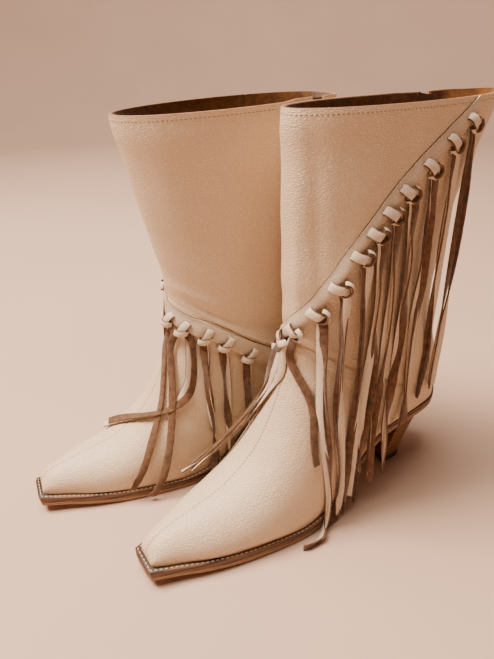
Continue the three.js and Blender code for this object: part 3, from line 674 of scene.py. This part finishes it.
for name in TURN:
    for part, low, high in (("lateral", -0.002, BAND_END + 0.004), ("medial", 0.002, 0.985)):
        arounds = np.linspace(low, high, 220)[None, :] + 0 * BAND_SHARES[:, None]
        above = ((BAND_SHARES - 0.5) * BAND_WIDTH)[:, None] + 0 * arounds
        rows = band_row(name, arounds, above)
        out = band_out(BAND_SHARES)[:, None] + 0 * arounds
        points, faces, slots = on_form_sheet(name, rows, arounds, out, BAND_THICK)
        band = make_piece(f"{name}_{part}_band", points, faces, [band_leather, brown_suede, highlit_pale_edge], slots)
        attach(band, f"{name}_boot")
        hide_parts(f"{name}_band_{part}")

# ---------------------------------------------------------------- lining
# Mustard-brown pigskin, flesh side out, glued behind the shaft and turned under its raw rim.
lining_suede = suede("mustard_lining", ("4c2a0a", "77480f"))


# Puts a material on a piece that stays as it was built.
def dress(node, material):
    piece = bpy.data.objects[node]
    piece.data.materials.clear()
    piece.data.materials.append(material)


for node in ("foot_lining", "sock_liner"):
    for name in TURN:
        dress(f"{name}_{node}", lining_suede)
for name in TURN:
    rows = np.linspace(11, TOP_ROW - 0.04, 60)
    parts = []
    for side in (-1, 1):
        edges = around_of_zip(name, rows, side * (ZIP_ASIDE + 1))
        v = np.linspace(0, 1, 100 if side < 0 else 30)
        arounds = mix(-1, edges[:, None], v) if side < 0 else mix(edges[:, None], 1, v)
        grid_rows = rows[:, None] + 0 * arounds
        parts.append(on_form_sheet(name, grid_rows, arounds, -LEATHER - 0.1, 0.9)[:2])
    add_beads(parts, f"{name}_shaft_lining_suede", f"{name}_boot", lining_suede,
              [f"{name}_shaft_lining"])

# ---------------------------------------------------------------- welt and outsole
# A dark leather welt runs round the shoe, lockstitched in off-white thread to a tan oak-bark outsole
# whose edge is dyed orange-brown. The sole rises at the waist into the seat of the heel.
WELT_TOP, WELT_THICK = -0.5, 4.0
OUTSOLE_TOP, OUTSOLE_THICK = WELT_TOP - WELT_THICK - 0.15, 4.3


def feather(name, row):
    values = row_values(name, np.asarray(row, float))
    return values[..., 2], np.maximum(values[..., 6], 0.15), values[..., 3]


def welt_reach(y):
    return mix(3.4, 1.0, smooth((y + 150) / 40))


# The outline round the sole, grown by a margin, as right-hand stations from toe to heel.
def outline(name, extra=0.0, count=150):
    row = np.linspace(0, SEAT_ROW, count)
    y, half, z = feather(name, row)
    ahead_y, ahead_half, _ = feather(name, np.minimum(row + 0.1, SEAT_ROW))
    back_y, back_half, _ = feather(name, np.maximum(row - 0.1, 0))
    slope = np.clip((ahead_half - back_half) / (ahead_y - back_y), -0.8, 0.8)
    margin = welt_reach(y) + extra
    middle, reach = (y[0] + y[-1]) / 2, (y[-1] - y[0]) / 2
    y = y + margin * ((y - middle) / reach) ** 5
    half = np.maximum(half + margin * np.hypot(1, slope), 2.0)
    return y, half, z


# Closed rings down the sole: each is a section with its edges rounded over.
def sole_slab(name, bottom, top, round_by, extra=0.0):
    y, half, z = outline(name, extra)
    rings = []
    for one_y, one_half, one_z in zip(y, half, z):
        low, high = max(one_z + bottom, 0.0), one_z + top
        r = min(round_by, (high - low) / 2.2, one_half / 2)
        side = [(one_half - r, low), (one_half - 0.3 * r, low + 0.3 * r), (one_half, low + r),
                (one_half, high - r), (one_half - 0.3 * r, high - 0.3 * r), (one_half - r, high)]
        ring = [(x, one_y, h) for x, h in side] + [(-x, one_y, h) for x, h in reversed(side)]
        rings.append(ring)
    ends = [np.array(rings[0]), np.array(rings[-1])]
    for end, shift in zip(ends, (-0.6, 0.6)):
        middle = end.mean(0)
        end[:] = middle + (end - middle) * 0.82
        end[:, 1] += shift
    rings = np.array([ends[0], *rings, ends[1]])
    points = to_world(name, rings.reshape(-1, 3))
    return points, outward(points, ring_faces(*rings.shape[:2]))


def layered_leather(name, tints, layer_mm, roughness):
    material, shader, place = new_material(name, roughness, Specular_IOR_Level=0.4)
    sway = add_node(material, "ShaderNodeTexNoise", {"Vector": place, "Scale": 22.0, "Detail": 2.0})
    lift = add_node(material, "ShaderNodeSeparateXYZ", {"Vector": place})
    height = add_node(material, "ShaderNodeMath", {0: sway.outputs["Fac"], 1: 0.0012, 2: lift.outputs["Z"]},
                      operation="MULTIPLY_ADD")
    layer = add_node(material, "ShaderNodeMath", {0: height.outputs[0], 1: 1000 * math.pi / layer_mm},
                     operation="MULTIPLY")
    wave = add_node(material, "ShaderNodeMath", {0: layer.outputs[0]}, operation="SINE")
    level = add_node(material, "ShaderNodeMath", {0: wave.outputs[0]}, operation="ABSOLUTE")
    fibre = add_node(material, "ShaderNodeTexNoise", {"Vector": place, "Scale": 320.0, "Detail": 5.0})
    both = add_node(material, "ShaderNodeMath", {0: fibre.outputs["Fac"], 1: 0.8, 2: level.outputs[0]},
                    operation="MULTIPLY_ADD")
    tint = ramp(material, both.outputs[0], [(0.35, tints[0]), (0.8, tints[1]), (1.0, tints[2])])
    material.node_tree.links.new(tint, shader.inputs["Base Color"])
    set_bump(material, shader, both.outputs[0], 0.12)
    return material


welt_leather = layered_leather("waxed_welt", ("2e1c12", "4c3120", "6a4830"), 4.0, 0.5)
sole_leather = layered_leather("oak_bark_outsole", ("5e412e", "8a664c", "a17f62"), 2.1, 0.45)
pale_thread = mottled("welt_thread", 0.65, 1300.0, 2.0, [(0.35, "a89a88"), (0.7, "d8cbb8")])
sole_meshes = []
for name in TURN:
    welt = sole_slab(name, WELT_TOP - WELT_THICK, WELT_TOP + 0.4, 0.7)
    outsole = sole_slab(name, OUTSOLE_TOP - OUTSOLE_THICK, OUTSOLE_TOP, 0.9, extra=-0.4)
    sole_meshes += [welt, outsole]
    add_beads([welt], f"{name}_welt_strip", f"{name}_boot", welt_leather, [f"{name}_welt"])
    add_beads([outsole], f"{name}_oak_outsole", f"{name}_boot", sole_leather,
              [f"{name}_outsole"])
    y, half, z = outline(name, -1.5)
    fore = y < -95
    top = z + WELT_TOP + 0.4
    one = np.stack([half, y, top], -1)[fore]
    loop = np.concatenate([one[::-1], one * [-1, 1, 1]])
    normals = np.tile([0.0, 0.0, 1.0], (len(loop), 1))
    units = stitch_run(to_world(name, loop), normals, pitch=3.6, length=2.7, radius=0.38)
    add_beads(units, f"{name}_welt_stitches", f"{name}_boot", pale_thread)

# ---------------------------------------------------------------- inner sole
# Fibre board, a cork fill, a spring-steel shank and the screw that holds the heel, all closed in.
board = layered_leather("fibre_board", ("8a6a48", "a88a66", "b89c78"), 0.8, 0.85)
cork = suede("cork_fill", ("7a5634", "b48c5e"))
steel = mottled("spring_steel", 0.35, 500.0, 3.0, [(0.3, "9c968c"), (0.7, "c6c1b8")], 0.03, Metallic=1.0)
INNER = {"insole_board": board, "cork_filler": cork, "shank": steel, "heel_screw": steel, "toe_puff": board,
         "heel_counter": board}
for name in TURN:
    for node, material in INNER.items():
        dress(f"{name}_{node}", material)

# ---------------------------------------------------------------- heel
# A stacked heel: nine 5 mm lifts of sole leather glued and nailed, sanded to one D-shaped block that is
# cut in towards the floor, with a black-brown rubber top piece under it.
LIFT_THICK = 6.0
LIFTS = 9
HEEL_GAP = 0.15
stack_leather = layered_leather("stacked_lifts", ("3c2414", "6b4526", "805633"), 5.0, 0.4)
rubber = mottled("heel_rubber", 0.75, 300.0, 4.0, [(0.35, "241e1a"), (0.7, "3a322c")], 0.08)


def heel_section(share, grow=0.0):
    cut_in = share ** 0.6
    breast = mix(-45, -56, share)
    back = mix(-2, -27, cut_in) + grow
    half = mix(24, 15, cut_in) + grow
    round_by = half * 0.95
    turns = np.linspace(0, math.pi, 33)
    arc = np.stack([half * np.cos(turns), back - round_by + round_by * np.sin(turns)], -1)
    front = np.array([[-half, breast], [-half / 2, breast + 2.2], [0, breast + 3], [half / 2, breast + 2.2],
                      [half, breast]])
    return np.concatenate([arc, front])


def stack(name, sections):
    points = to_world(name, np.concatenate([np.column_stack(section) for section in sections]))
    return points, outward(points, ring_faces(len(sections), len(sections[0][0])))


for name in TURN:
    seat_row = np.linspace(9, SEAT_ROW, 200)
    seat_y, _, seat_z = feather(name, seat_row)
    under = OUTSOLE_TOP - OUTSOLE_THICK - 0.1
    sections = []
    for lift in range(LIFTS):
        for part, grow in ((0.04, -0.25), (0.12, 0.0), (0.92, 0.0)):
            share = (lift + part) / LIFTS
            flat = heel_section(share, grow)
            top = np.interp(flat[:, 1], seat_y, seat_z) + under
            sections.append((flat, mix(top, LIFT_THICK + HEEL_GAP, share)))
    flat = heel_section(1.0, -0.2)
    sections.append((flat, np.full(len(flat), LIFT_THICK + HEEL_GAP)))
    heel = stack(name, sections)
    add_beads([heel], f"{name}_stacked_heel", f"{name}_boot", stack_leather,
              [f"{name}_heel_stack"])
    sole_meshes.append(heel)
    rise = [(0.0, -0.5), (0.4, 0.0), (LIFT_THICK - 0.4, 0.0), (LIFT_THICK, -0.4)]
    top_piece = stack(name, [(heel_section(1.0, grow), np.full(len(flat), h)) for h, grow in rise])
    add_beads([top_piece], f"{name}_top_piece", f"{name}_boot", rubber,
              [f"{name}_heel_lift"])

# ---------------------------------------------------------------- zip
# A coil zip on brown woven tape up the inside of each boot. Its slider is dull nickel-plated zinc with a
# split tab of sueded leather on the bail.
tape, tape_shader, tape_place = new_material("woven_zip_tape", 0.85)
warp = add_node(tape, "ShaderNodeTexWave", {"Vector": tape_place, "Scale": 500.0, "Distortion": 0.4},
                bands_direction="Z")
tape_tint = ramp(tape, warp.outputs["Fac"], [(0.2, "4c3623"), (0.8, "7d5f43")])
tape.node_tree.links.new(tape_tint, tape_shader.inputs["Base Color"])
set_bump(tape, tape_shader, warp.outputs["Fac"], 0.1)
nickel = mottled("dull_nickel", 0.32, 900.0, 4.0, [(0.3, "8f8a7e"), (0.7, "b9b3a5")], 0.02, Metallic=1.0)
tab_leather = suede("tab_leather", ("5e3c20", "8c6240"))
for name in TURN:
    for node, material in {"zip_tape": tape, "zip_slider": nickel, "zip_puller": tab_leather}.items():
        dress(f"{name}_{node}", material)
    low, high = zip_low[name], zip_high[name]
    along = unit(high - low)
    out = np.array([-lateral[name], 0.0, 0.0])
    out = unit(out - along * np.dot(out, along))
    wide = np.cross(out, along)
    units = []
    for k in range(int((np.linalg.norm(high - low) - 4) / 1.5)):
        side = 1 if k % 2 else -1
        centre = low + along * (1 + k * 1.5) + wide * side * 0.5 - out * 1.35
        bead = stitch(centre, wide, out, 3.2, 0.72)
        units.append((to_world(name, bead[0]), bead[1]))
    add_beads(units, f"{name}_zip_coil", f"{name}_boot", nickel, [f"{name}_zip_chain"])

# ---------------------------------------------------------------- knots
# Fringe straps are cut 6 mm wide from the upper's hide. Each is folded double, its loop pushed out of a
# slit in the band and the ends drawn back through it, so a bone loop comes down over the band's edge
# into a ring of strap that shows its brown edge.
STRAP_WIDTH, STRAP_THICK = 6.0, 1.3
strap_grain = pebbled("fringe_grain_side", ("e2d0bc", "eddecb", "d2bea6"), 1.2, 0.07, 0.55)
STRAP_MATERIALS = [strap_grain, brown_suede]


def through(points, count):
    points = np.asarray(points, float)
    padded = np.concatenate([[2 * points[0] - points[1]], points, [2 * points[-1] - points[-2]]])
    at = np.linspace(0, len(points) - 1, count)
    i = np.minimum(at.astype(int), len(points) - 2)
    t = (at - i)[:, None]
    return spline(*(padded[i + k] for k in range(4)), t)


# A flat strap along a path: slot 0 is the grain side, which faces "toward", slot 1 the flesh side and
# the cut edges.
def strap(path, widths, toward, width=STRAP_WIDTH, thick=STRAP_THICK, ragged=None):
    path = np.asarray(path, float)
    run = unit(np.gradient(path, axis=0))
    wide = unit(widths - run * np.sum(widths * run, -1, keepdims=True))
    if np.sum(np.cross(run, wide) * toward) < 0:
        wide = -wide
    face = np.cross(run, wide)
    half = np.full(len(path), width / 2) if ragged is None else width / 2 + ragged
    profile = [(1, 0.2), (0.9, 0.5), (0, 0.56), (-0.9, 0.5), (-1, 0.2), (-1, -0.3), (-0.85, -0.5), (0, -0.5),
               (0.85, -0.5), (1, -0.3)]
    rings = np.stack([path + wide * (a * half)[:, None] + face * b * thick for a, b in profile], 1)
    sides = len(profile)
    points = rings.reshape(-1, 3)
    slots = [0 if k in (1, 2) else 1 for k in range(sides)] * (len(path) - 1) + [1, 1]
    return points, outward(points, ring_faces(len(path), sides)), slots


def add_straps(units, name, body, replaced=()):
    points, faces = merged(item[:2] for item in units)
    slots = [slot for item in units for slot in item[2]]
    piece = make_piece(name, points, faces, STRAP_MATERIALS, slots, crease=60)
    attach(piece, body)
    if replaced:
        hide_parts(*replaced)
    return piece


# Axes of the band at a knot: its middle, uphill along it, down across it, and out of the leather.
def band_axes(name, around):
    beside = around - 0.012
    here, out = on_skin(name, band_row(name, around), around, BAND_STAND)
    there, _ = on_skin(name, band_row(name, beside), beside, BAND_STAND)
    up = unit(there - here)
    up = up if up[2] >= 0 else -up
    down = np.cross(out, up)
    down = down if down[2] < 0 else -down
    return here, up, unit(down), out


KNOTS = {
    "left": {"front": (0.045, -0.03, -0.135, -0.23), "middle": (-0.31, -0.36, -0.405, -0.455),
             "rear": (-0.515, -0.575, -0.628), "inner_front": (0.16, 0.26, 0.34, 0.425),
             "inner_rear": (0.52, 0.61, 0.70, 0.79)},
    "right": {"front": (-0.1, -0.165, -0.235), "middle": (-0.31, -0.36, -0.405, -0.455),
              "rear": (-0.515, -0.575, -0.628), "inner_front": (0.065, 0.16, 0.26, 0.34, 0.425),
              "inner_rear": (0.52, 0.61, 0.70, 0.79)},
}
chance = random.Random(7)
starts = {}
for name in TURN:
    units = []
    for group, arounds in KNOTS[name].items():
        for around in arounds:
            here, up, down, out = band_axes(name, around)
            inner = around > 0
            lean = chance.uniform(-0.5, 0.5)
            drop = chance.uniform(-0.4, 0.6)

            def local(places):
                return np.array([here + up * a + down * b + out * c for a, b, c in places])

            loop = local([(-0.3, -1.0, -0.8), (0, -0.4, 0.9), (0.5 + lean, 1.6, 2.1), (1.3 + lean, 4.4, 2.7),
                          (2.1 + lean, 7.2 + drop, 2.5), (2.8 + lean, 9.4 + drop, 0.4)])
            path = through(loop, 20)
            units.append(strap(path, np.tile(up, (20, 1)), out, width=6.4))
            # A bead in the straps' brown flesh colour lies across each slit as painted shade in its opening.
            slit = local([(-3.4, -0.9, 0.02), (3.4, -0.9, 0.02)])
            slit_shade, slit_shade_faces = stitch(slit.mean(0), up, out, 6.4, 0.45)
            units.append((slit_shade, slit_shade_faces, [1] * len(slit_shade_faces)))
            if inner:
                bar = local([(-3.0, 6.6, 0.2), (-1.8, 6.8, 2.6), (1.0, 8.2, 3.9), (4.0, 9.0, 3.7),
                             (6.4, 9.4, 2.2), (6.8, 9.2, 0.0)])
                path = through(bar, 22)
                units.append(strap(path, np.tile(down, (22, 1)), out, width=5.0))
            else:
                turns = np.radians(np.linspace(-95, 128, 26))
                middle = here + up * (3.2 + lean) + down * (8.2 + drop)
                ring = np.array([middle + (down * math.cos(t) + up * math.sin(t)) * 4.7 for t in turns])
                ring += out * (1.7 + 0.5 * np.sin(turns * 1.3))[:, None]
                radial = unit(ring - middle)
                units.append(strap(ring, unit(out - radial * 0.4), radial, width=3.6, thick=1.4))
            starts[(name, group, around)] = (here, up, down, out)
    add_straps(units, f"{name}_fringe_knots", f"{name}_boot")

# ---------------------------------------------------------------- fringe
# The strap ends hang 160 to 198 mm from their knots, or just to the floor. They are left to fall under
# their own weight; the front ones are laid over the vamps, as they lie when the boots are set down.
TAIL = 190.0
TAIL_POINTS = 26
TAIL_STATIONS = 64
SPLAY_FROM, SPLAY_SHARE, LEAST_HEIGHT = 97.0, 0.3, 3.3


# The skins of both boots and their soles, for the straps to rest on.
GRID_ROWS, GRID_COLUMNS = 110, 150


def grid_surface(name):
    rows = np.linspace(0, TOP_ROW, GRID_ROWS)
    rows, arounds = np.meshgrid(rows, np.linspace(-1, 1, GRID_COLUMNS), indexing="ij")
    points = to_world(name, skin(name, rows, arounds, 0.3 + 0 * rows)).reshape(-1, 3)
    wide = GRID_COLUMNS
    faces = [
        [i * wide + j, (i + 1) * wide + j, (i + 1) * wide + j + 1, i * wide + j + 1]
        for i in range(GRID_ROWS - 1) for j in range(wide - 1)
    ]
    sample = points[faces[len(faces) // 2 + 40]]
    normal = np.cross(sample[1] - sample[0], sample[2] - sample[0])
    middle = points.reshape(GRID_ROWS, wide, 3)[GRID_ROWS // 2].mean(0)
    if np.dot(normal, sample.mean(0) - middle) < 0:
        faces = [face[::-1] for face in faces]
    return points, faces


body_points, body_faces = merged([grid_surface("left"), grid_surface("right"), *sole_meshes])
body_tree = BVHTree.FromPolygons(body_points.tolist(), body_faces)


# Lets straps fall: each step moves every point on, then evens out the spans between points, keeps
# the strap from folding sharply, and pushes points out of the boots and the floor.
SETTLE_STEPS, FALL, DRAG_FREE, DRAG_TOUCHING = 170, 0.5, 0.965, 0.72
SPAN_ROUNDS, LEAST_SPAN, STIFFNESS, SEARCH = 12, 0.94, 0.2, 14


def settle(paths, margins):
    at = np.array(paths)
    held = at[:, :2].copy()
    seg = np.linalg.norm(at[:, 1:] - at[:, :-1], axis=-1, keepdims=True)
    before = at.copy()
    touching = np.zeros(at.shape[:2], bool)
    for step in range(SETTLE_STEPS):
        speed = (at - before) * np.where(touching[..., None], DRAG_TOUCHING, DRAG_FREE)
        before = at.copy()
        at = at + speed
        at[..., 2] -= FALL
        for _ in range(SPAN_ROUNDS):
            gap = at[:, 1:] - at[:, :-1]
            length = np.linalg.norm(gap, axis=-1, keepdims=True)
            shift = gap * (0.5 * (length - seg) / np.maximum(length, 1e-6))
            at[:, :-1] += shift
            at[:, 1:] -= shift
            wide = at[:, 3:] - at[:, :-3]
            length = np.linalg.norm(wide, axis=-1, keepdims=True)
            least = LEAST_SPAN * (seg[:, 2:] + seg[:, 1:-1] + seg[:, :-2])
            shift = wide * (STIFFNESS * np.minimum(length - least, 0) / np.maximum(length, 1e-6))
            at[:, :-3] += shift
            at[:, 3:] -= shift
            at[:, :2] = held
        if step % 2 or step > SETTLE_STEPS - 4:
            for i in range(at.shape[0]):
                for k in range(2, at.shape[1]):
                    found, normal, _, _ = body_tree.find_nearest(at[i, k].tolist(), SEARCH)
                    touching[i, k] = False
                    if found is None:
                        continue
                    stand = float(np.dot(at[i, k] - np.array(found), np.array(normal)))
                    if stand < margins[i]:
                        at[i, k] += np.array(normal) * (margins[i] - stand)
                        touching[i, k] = True
        floor_at = 0.8 + 0.45 * margins[:, None]
        touching |= at[..., 2] < floor_at
        at[..., 2] = np.maximum(at[..., 2], floor_at)
    return at


# Turns a tail's middle line into a strap that sways, twists and has slightly ragged edges.
def finish_tail(path, out, face, turn, rounds):
    path = through(path, TAIL_STATIONS)
    normals = []
    for p in path:
        found, normal, _, _ = body_tree.find_nearest(p.tolist(), 60)
        normals.append(out if found is None else np.array(normal))
    normals = np.array(normals)
    normals[:4] = out
    for _ in range(14):
        normals[1:-1] = unit(normals[:-2] + normals[1:-1] + normals[2:])
    run = unit(np.gradient(path, axis=0))
    wide = unit(np.cross(normals, run))
    over = np.cross(wide, run)
    share = np.linspace(0, 1, len(path))
    swing = chance.uniform(1.5, 3.6) * np.sin(chance.uniform(5, 9) * share + chance.uniform(0, 6))
    path = path + wide * (swing * smooth(share * 1.6))[:, None]
    aside = np.abs(path[:, 0])
    path[:, 0] = np.sign(path[:, 0]) * np.minimum(aside, SPLAY_FROM + (aside - SPLAY_FROM) * SPLAY_SHARE)
    path[:, 2] = np.maximum(path[:, 2], LEAST_HEIGHT)
    angle = turn * np.sin(rounds * share * math.pi) * smooth(share * 5)
    wide = wide * np.cos(angle)[:, None] + over * np.sin(angle)[:, None]
    noise = np.array([chance.uniform(-0.16, 0.16) for _ in path])
    return strap(path, wide, normals * face, ragged=noise)


# Tails that lie over a vamp: boot, group, knot, side that shows, twist, then (row, around, stand-off)
# from the knot down.
LAID = [
    ("left", "front", 0.045, 1, 0.4, [
        (10.6, 0.05, 2.2), (9.4, 0.07, 3.0), (8.4, 0.12, 2.4), (7.2, 0.2, 5), (6.3, 0.26, 9),
        (5.3, 0.31, 12), (4.6, 0.34, 15)]),
    ("left", "front", 0.045, -1, 0.7, [
        (10.5, 0.08, 4.2), (9.2, 0.11, 4.4), (8.2, 0.17, 4.6), (7.0, 0.25, 7), (6.0, 0.31, 12),
        (5.1, 0.35, 16)]),
    ("left", "front", -0.03, 1, 0.5, [
        (10.7, 0.0, 2.2), (9.4, 0.0, 1.6), (8.4, 0.06, 1.6), (7.3, 0.15, 3), (6.4, 0.22, 7),
        (5.5, 0.28, 10), (4.9, 0.33, 11)]),
    ("left", "front", -0.03, -1, 0.2, [
        (10.8, -0.04, 2.2), (10.0, -0.09, 1.6), (9.3, -0.16, 1.6), (8.8, -0.23, 1.6), (8.3, -0.29, 1.8),
        (7.9, -0.36, 2.2)]),
    ("right", "inner_front", 0.065, -1, 0.3, [
        (10.4, 0.06, 2.2), (9.0, 0.02, 2.0), (8.0, 0.06, 2.0), (7.0, 0.14, 2.4), (6.2, 0.24, 3),
        (5.6, 0.4, 3), (5.2, 0.66, 4)]),
    ("right", "inner_front", 0.065, -1, 0.4, [
        (10.3, 0.1, 3.6), (9.2, 0.1, 3.4), (8.0, 0.18, 3.4), (7.0, 0.29, 4), (6.3, 0.45, 5),
        (5.9, 0.7, 7), (5.7, 0.95, 8)]),
    ("right", "inner_front", 0.16, 1, 0.6, [
        (10.6, 0.18, 2.2), (9.4, 0.22, 2.6), (8.5, 0.24, 2), (7.5, 0.22, 1.6), (6.6, 0.15, 1.6),
        (5.9, 0.05, 1.6), (5.3, -0.06, 1.8), (4.8, -0.16, 4)]),
    ("right", "inner_front", 0.16, -1, 0.8, [
        (10.5, 0.2, 4.0), (9.2, 0.25, 4.4), (8.2, 0.26, 3.4), (7.2, 0.21, 3.2), (6.3, 0.12, 3.2),
        (5.6, 0.0, 3.4), (5.0, -0.13, 5)]),
]
GROUP_NODES = {"front": "fringe_lateral_front", "middle": "fringe_lateral_middle",
               "rear": "fringe_lateral_rear", "inner_front": "fringe_medial_front",
               "inner_rear": "fringe_medial_rear"}
laid_knots = {(name, group, around) for name, group, around, *_ in LAID}
tails = {key: [] for key in ((name, group) for name in TURN for group in GROUP_NODES)}
for name, group, around, face, turn, places in LAID:
    here, up, down, out = starts[(name, group, around)]
    rows, arounds, stands = np.array(places, float).T
    path, _ = on_skin(name, rows, arounds, stands)
    first = here + down * 6.5 - out * 0.3 + up * 2
    tails[(name, group)].append(finish_tail(np.concatenate([[first], path]), out, face, turn, 2.3))
hung = []
for (name, group, around), (here, up, down, out) in starts.items():
    if (name, group, around) in laid_knots:
        continue
    for k in range(2):
        first = here + up * (2.4 + 1.6 * (k - 0.5)) + down * (6.6 + k) - out * (0.4 - 0.7 * k)
        length = min(TAIL * chance.uniform(0.84, 1.04), here[2] * chance.uniform(0.92, 1.03))
        lean = np.array([chance.uniform(-0.03, 0.05), chance.uniform(-0.22, 0.22), 0.0])
        head = unit(down * 0.5 + out * 0.25 + np.array([0, 0, -1.0]) + lean)
        shares = np.linspace(0, 1, TAIL_POINTS)[:, None]
        sway = out * 16 * np.sin(shares * math.pi / 2) ** 2
        path = first + shares * length * unit(np.array([0, 0, -1.0]) + lean * 0.5) + sway
        path[1] = first + head * length / (TAIL_POINTS - 1)
        face = 1 if (k + round(around * 100)) % 2 == 0 else -1
        hung.append((path, 1.3 + 1.25 * k, (name, group), out, face))
settled = settle([item[0] for item in hung], np.array([item[1] for item in hung]))
for path, (_, _, key, out, face) in zip(settled, hung):
    turn = chance.uniform(0.5, 1.35) * chance.choice((-1, 1))
    tails[key].append(finish_tail(path, out, face, turn, chance.uniform(1.2, 3.2)))
for (name, group), units in tails.items():
    node = f"{name}_{GROUP_NODES[group]}"
    body = f"{name}_boot" if group.startswith("inner") else node
    add_straps(units, f"{node}_straps", body, [node])

# ---------------------------------------------------------------- final update
bpy.context.view_layer.update()
